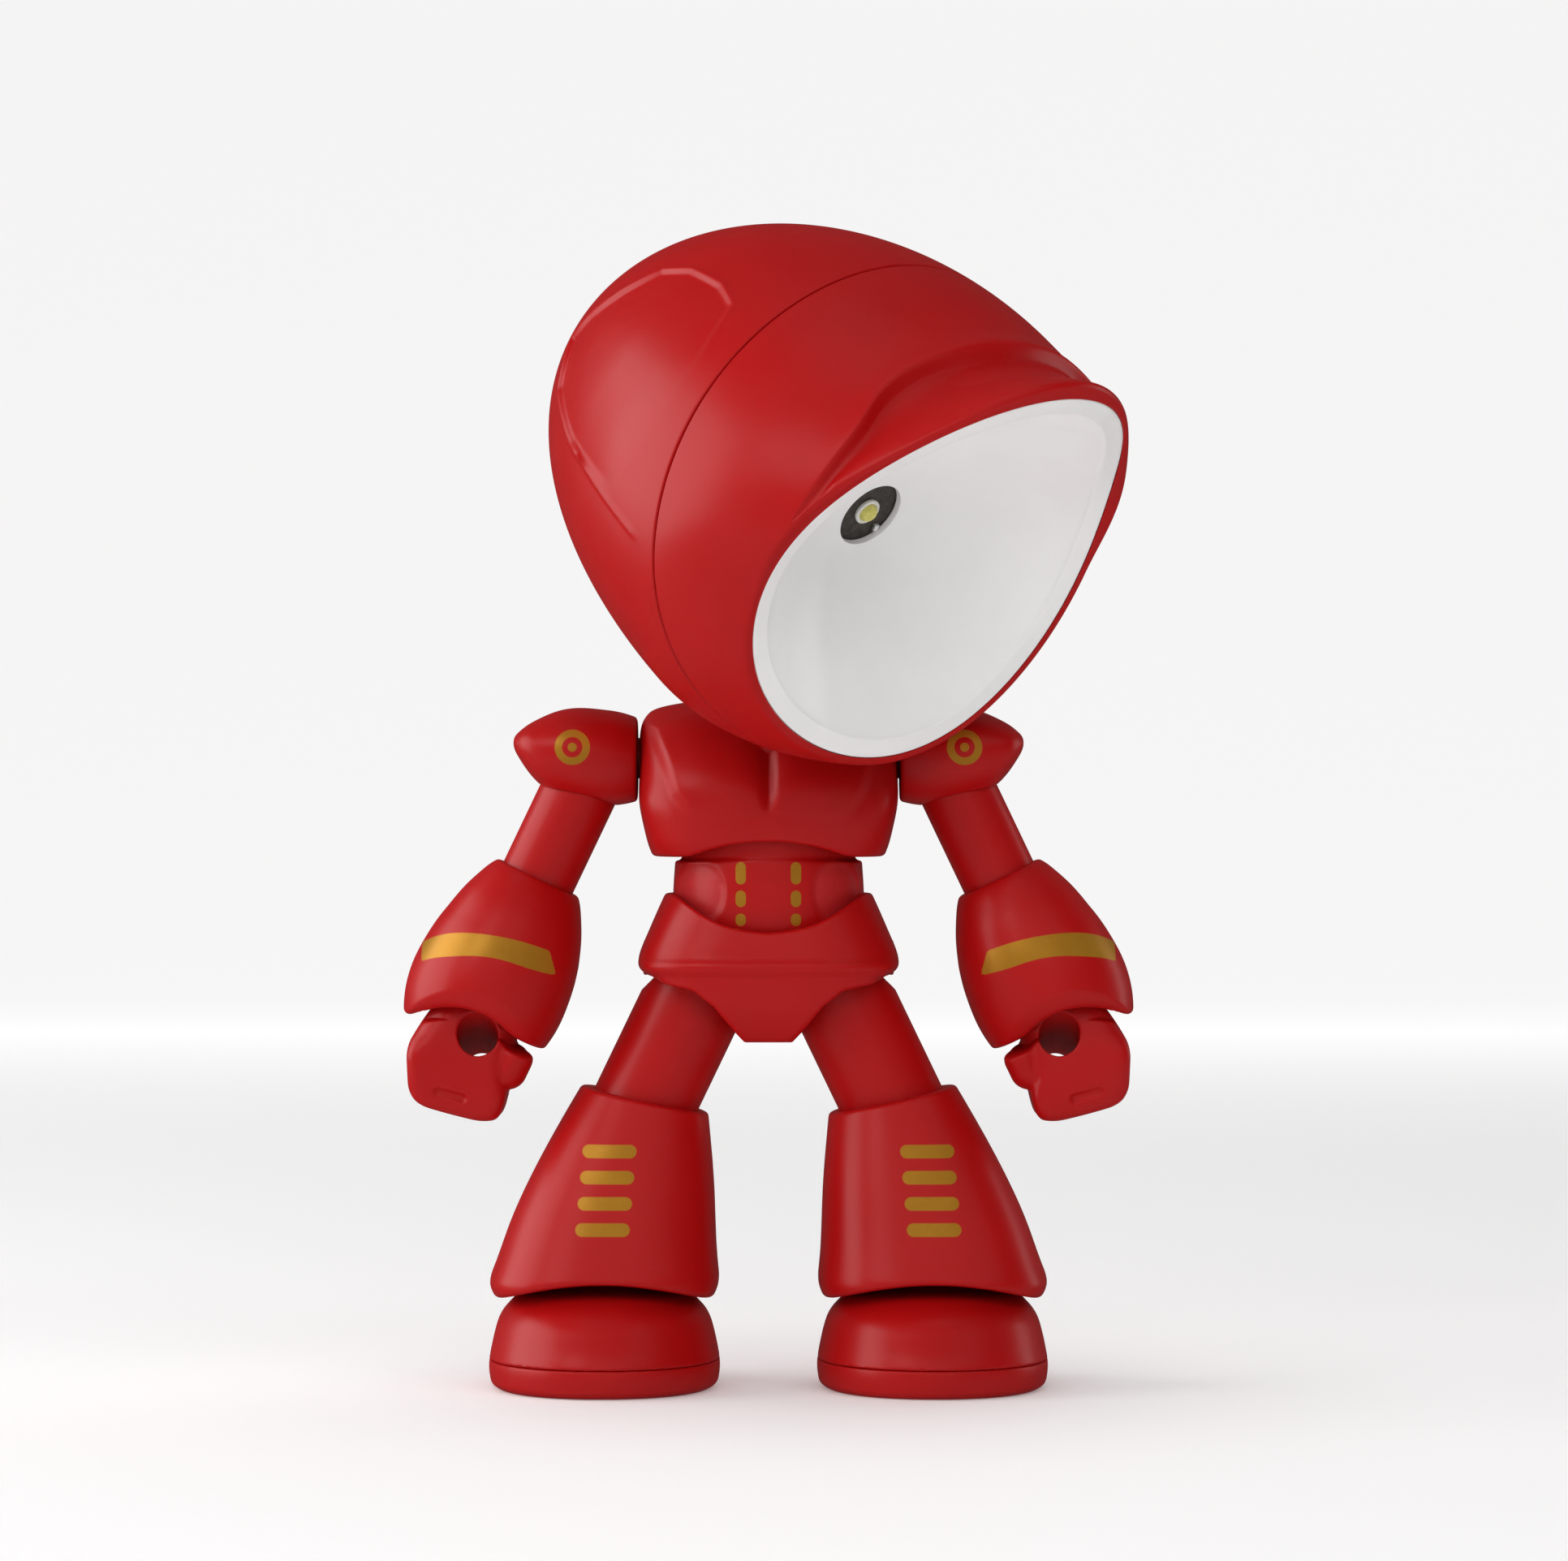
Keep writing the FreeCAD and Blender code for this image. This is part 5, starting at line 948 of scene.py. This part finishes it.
def build_body():
    p, q = grown(chest, (-16.6, -14.6, 64.2), (16.6, 12.4, 84.9), 0.24)
    finish(mesh_object("chest_shell", p, q), RED, "chest", ["chest_front", "chest_back"])
    p, q = grown(abdomen, (-12.3, -11.5, 54.0), (12.3, 11.5, 68.6), 0.22)
    o = mesh_object("midriff", p, q)
    x, y, z = p.T
    d = np.minimum.reduce([pill(np.abs(x), z, 3.35, 63.0, 0.62, 1.35, 0.62), pill(np.abs(x), z, 3.35, 59.9, 0.62, 1.0, 0.62),
                           pill(np.abs(x), z, 3.35, 57.35, 0.62, 0.75, 0.62)])
    attribute(o, "print_edge", np.maximum(d, y + 2))
    # outline of the abdomen's side ovals, where the lighter red of painted sheen goes
    attribute(o, "patch_edge", np.maximum(patch(x, z) * 2.9, y + 1) * 0.001)
    finish(o, RED_PATCH, "hips", ["abdomen"])
    p, q = grown(pelvis, (-16.8, -14.3, 41.6), (16.8, 13.2, 61.4), 0.24)
    finish(mesh_object("hip_skirt", p, q), RED, "hips", ["pelvis_front", "pelvis_back"])

    both("shoulder", grown(pad, (-32.0, -8.4, 70.6), (-15.6, 8.4, 83.8), 0.22), RED_PRINT, "arm", ["shoulder_pad"],
         mark=lambda p: np.maximum(np.minimum(ring_mark(p[:, 0], p[:, 2], -23.9, 78.3, 1.25, 2.15),
                                              np.hypot(p[:, 0] + 23.9, p[:, 2] - 78.3) - 0.55), p[:, 1] + 1))
    arm = lathe(smooth_profile([(0, -3.9), (4.6, -3.9), (4.7, -3.7), (4.7, 10.6), (4.45, 11.2), (4.45, 12.8), (0, 12.8)], 0.15), 128)
    both("arm_tube", turned(arm[0], arm[1], AP, AN, AY, AD), RED, "arm", ["upper_arm"], sharp=40)
    stripe_p = grown(cuff, (-10.3, -10.4, 9.7), (10.9, 10.4, 31.8), 0.22)
    n, y, t = stripe_p[0].T
    g = turned(*stripe_p, AP, AN, AY, AD)
    # plain stripe round the front of the cuff, bounded in the picture plane of the arm
    xs, zs = g[0][:, 0], g[0][:, 2]
    both("cuff", g, RED_PRINT, "forearm", ["gauntlet"], mark=lambda p: np.maximum(stripe(p[:, 0], p[:, 2]), p[:, 1] + 0.5))
    fp = grown(fist, (-6.6, -6.6, 21.2), (10.0, 6.6, 42.6), 0.17)
    both("hand", turned(*fp, AP, AN, AY, AD), RED, "hand", ["fist"])
    both("thigh_tube", grown(thigh, (-22.8, -6.9, 29.0), (0.2, 6.9, 58.9), 0.24), RED, "leg", ["thigh"])
    both("shin", grown(boot, (-34.8, -15.7, 9.6), (-5.5, 12.4, 38.2), 0.24), RED_PRINT, "leg", ["boot"],
         mark=lambda p: np.maximum(np.minimum.reduce([pill(p[:, 0], p[:, 2], -19.3 - 0.25 * k, 29.2 - 3.1 * k, 3.3, 0.8, 0.8) for k in range(4)]), p[:, 1] + 1))
    both("shoe", grown(foot, (-35.0, -20.6, 3.0), (-5.2, 15.1, 21.4), 0.25), RED, "foot_body", ["foot"])
    both("outsole", grown(sole, (-35.0, -20.6, -0.5), (-5.2, 15.1, 4.0), 0.2), RED_SATIN, "foot_body", ["sole"])

STRIPE_TOP = [(-43.0, 54.2), (-41.0, 55.1), (-36.8, 55.7), (-32.9, 55.3), (-29.5, 54.5), (-26.0, 53.2)]
STRIPE_BOT = [(-43.0, 51.9), (-42.3, 52.2), (-39.1, 52.8), (-35.2, 52.9), (-31.8, 52.3), (-29.2, 51.4), (-26.5, 50.6)]
_st = spline([a for a, b in STRIPE_TOP], [b for a, b in STRIPE_TOP])
_sb = spline([a for a, b in STRIPE_BOT], [b for a, b in STRIPE_BOT])
def stripe(x, z):
    top, bot = _st(x), _sb(x)
    d = np.maximum(z - top, bot - z)
    inner = x + 26.3 + (z - 52) * 0.25
    outer = -x - 42.5
    return smax(smax(d, inner, 0.3), outer, 0.3)

def patch_material():
    m = red_plastic("moulded_red_midriff", printed=True, satin_and_painted_sheen="patch_edge")
    return m
RED_PATCH = patch_material()

build_head()
build_body()

# ------------------------------------------------------------------------------ carried-over solids
LOOKS = {
    "led_board": (BOARD, "board"), "board_screws": (STEEL, "steel"), "neck_socket_base": (DARK, "dark_plastic"),
    "neck_socket_cap": (DARK, "dark_plastic"), "socket_screws": (STEEL, "steel"), "battery_tray": (DARK, "dark_plastic"),
    "button_cells": (CELL, "cell_steel"), "battery_contacts": (TIN, "steel"), "door_screw": (STEEL, "steel"),
    "switch_body": (DARK, "dark_plastic"), "switch_bracket": (WHITE_PL, "white_plastic"), "lead_wires": (WIRE, "wire"),
    # neck_post, waist_pivot, shoulder_pin, wrist_clevis and ankle_socket take the darker red of painted shade
    "neck_liner": (WHITE_PL, "white_plastic"), "neck_post": (RED_SHADED_INNER, "red_plastic"), "neck_bush": (RED, "red_plastic"),
    "chest_screws": (STEEL, "steel"), "waist_pivot": (RED_SHADED_INNER, "red_plastic"), "hip_axle": (STEEL, "steel"),
    "shoulder_pin": (RED_SHADED_INNER, "red_plastic"), "elbow_screw": (STEEL, "steel"), "wrist_clevis": (RED_SHADED_INNER, "red_plastic"),
    "wrist_pin": (STEEL, "steel"), "ankle_socket": (RED_SHADED_INNER, "red_plastic"), "sole_screw": (STEEL, "steel"),
}
for name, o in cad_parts.items():
    key = name[:-2] if name.endswith(("_r", "_l")) else name
    if key in LOOKS:
        mat, sl = LOOKS[key]
        o.data.materials.clear()
        o.data.materials.append(mat)

# ------------------------------------------------------------------------------ floor, light, camera
def cove():
    prof = [(-2.6, 0.0), (1.2, 0.0)]
    for k in range(1, 25):
        a = rad(90 * k / 24)
        prof.append((1.2 + 1.2 * sin(a), 1.2 - 1.2 * cos(a)))
    prof.append((2.4, 5.0))
    xs = np.linspace(-4, 4, 9)
    v = np.array([[x, y, z - 0.00002] for y, z in prof for x in xs]) * 1000
    v[:, 1] -= DY
    n = len(xs)
    q = np.array([[j * n + i, j * n + i + 1, (j + 1) * n + i + 1, (j + 1) * n + i] for j in range(len(prof) - 1) for i in range(n - 1)])
    return mesh_object("studio_floor", v, q)
FLOOR_GLOW = (0.18, 0.88)
floor = cove()
m, nt, b = material("pale_floor")
c = coords(nt)
xyz = nt.nodes.new("ShaderNodeSeparateXYZ")
nt.links.new(c, xyz.inputs[0])
far = node(nt, "ShaderNodeMath", operation="ADD")
nt.links.new(xyz.outputs[1], far.inputs[0])
nt.links.new(xyz.outputs[2], far.inputs[1])
far = mapped(nt, far.outputs[0], 0.15, 1.3, 0.0, 1.0, True)
nt.links.new(mix_colour(nt, far, mix_colour(nt, noise(nt, c, 3.0), (0.90, 0.895, 0.895), (0.885, 0.88, 0.88)), (0.10, 0.10, 0.10)), b.inputs["Base Color"])
b.inputs["Emission Color"].default_value = (1.0, 0.99, 0.99, 1)
nt.links.new(mapped(nt, far, 0.0, 0.8, FLOOR_GLOW[0], FLOOR_GLOW[1]), b.inputs["Emission Strength"])
b.inputs["Roughness"].default_value = 0.6
b.inputs["Specular IOR Level"].default_value = 0.2
floor.data.materials.append(m)
floor.visible_glossy = False

def backdrop():
    """a pale round wall beyond the floor, seen only by the eye: it lights nothing and shows in no reflection"""
    a = 2 * pi * np.arange(96) / 96
    zs = np.array([-600.0, 0.0, 900.0, 1800.0, 2700.0])
    v = np.array([[2900 * cos(t), 2900 * sin(t), z] for z in zs for t in a] + [[0, 0, 2700.0]])
    n = 96
    q = np.array([[j * n + i, j * n + (i + 1) % n, (j + 1) * n + (i + 1) % n, (j + 1) * n + i] for j in range(len(zs) - 1) for i in range(n)])
    t = np.array([[(len(zs) - 1) * n + i, (len(zs) - 1) * n + (i + 1) % n, len(v) - 1] for i in range(n)])
    o = mesh_object("studio_wall", v, [q, t])
    o.visible_diffuse = o.visible_glossy = o.visible_transmission = o.visible_shadow = False
    return o
wall_obj = backdrop()
m, nt, b = material("pale_wall")
b.inputs["Base Color"].default_value = (0.02, 0.02, 0.02, 1)
nt.links.new(mix_colour(nt, noise(nt, coords(nt), 1.2), (1.0, 0.99, 0.99), (0.99, 0.98, 0.98)), b.inputs["Emission Color"])
b.inputs["Emission Strength"].default_value = 0.90
wall_obj.data.materials.append(m)

world = bpy.data.worlds.new("studio")
bpy.context.scene.world = world
world.use_nodes = True
bg = world.node_tree.nodes["Background"]
bg.inputs[0].default_value = (1.0, 0.995, 0.995, 1)
bg.inputs[1].default_value = 0.05

def area(name, at, to, size, power, size_y=None):
    L = bpy.data.lights.new(name, "AREA")
    L.shape = "RECTANGLE"
    L.size, L.size_y = size, size_y or size
    L.energy = power
    o = bpy.data.objects.new(name, L)
    bpy.context.scene.collection.objects.link(o)
    o.location = at
    o.rotation_euler = (Vector(to) - Vector(at)).to_track_quat("-Z", "Y").to_euler()
    return o
area("key_left", (-0.85, -0.02, 0.38), (0, 0, 0.09), 0.95, 6.6, 0.75)
area("front", (0.10, -1.25, 0.62), (0, 0, 0.07), 0.9, 4.8, 0.8).visible_glossy = False
area("bowl_fill", (0.75, -0.80, 0.85), (0.02, -0.03, 0.09), 0.5, 2.0, 0.5).visible_glossy = False
area("hood_glow", (-0.62, -0.95, 0.75), (0, 0, 0.10), 0.55, 2.2, 0.5)
area("top", (0.0, -0.10, 0.95), (0, 0, 0.07), 0.6, 2.1, 0.6).visible_glossy = False
area("edge_right", (0.80, 0.40, 0.20), (0, 0, 0.07), 0.22, 0.5, 0.45)

scene = bpy.context.scene
scene.view_settings.view_transform = "Standard"
scene.view_settings.look = "None"
cam = bpy.data.cameras.new("cam")
cam.sensor_width = 36.0
cam.lens = 126.7
co = bpy.data.objects.new("cam", cam)
scene.collection.objects.link(co)
co.location = (0.0019, (-680 + DY) * 0.001, 0.07425)
co.rotation_euler = (rad(90), 0, 0)
cam.clip_start, cam.clip_end = 0.01, 20
cam.dof.use_dof = False
scene.camera = co
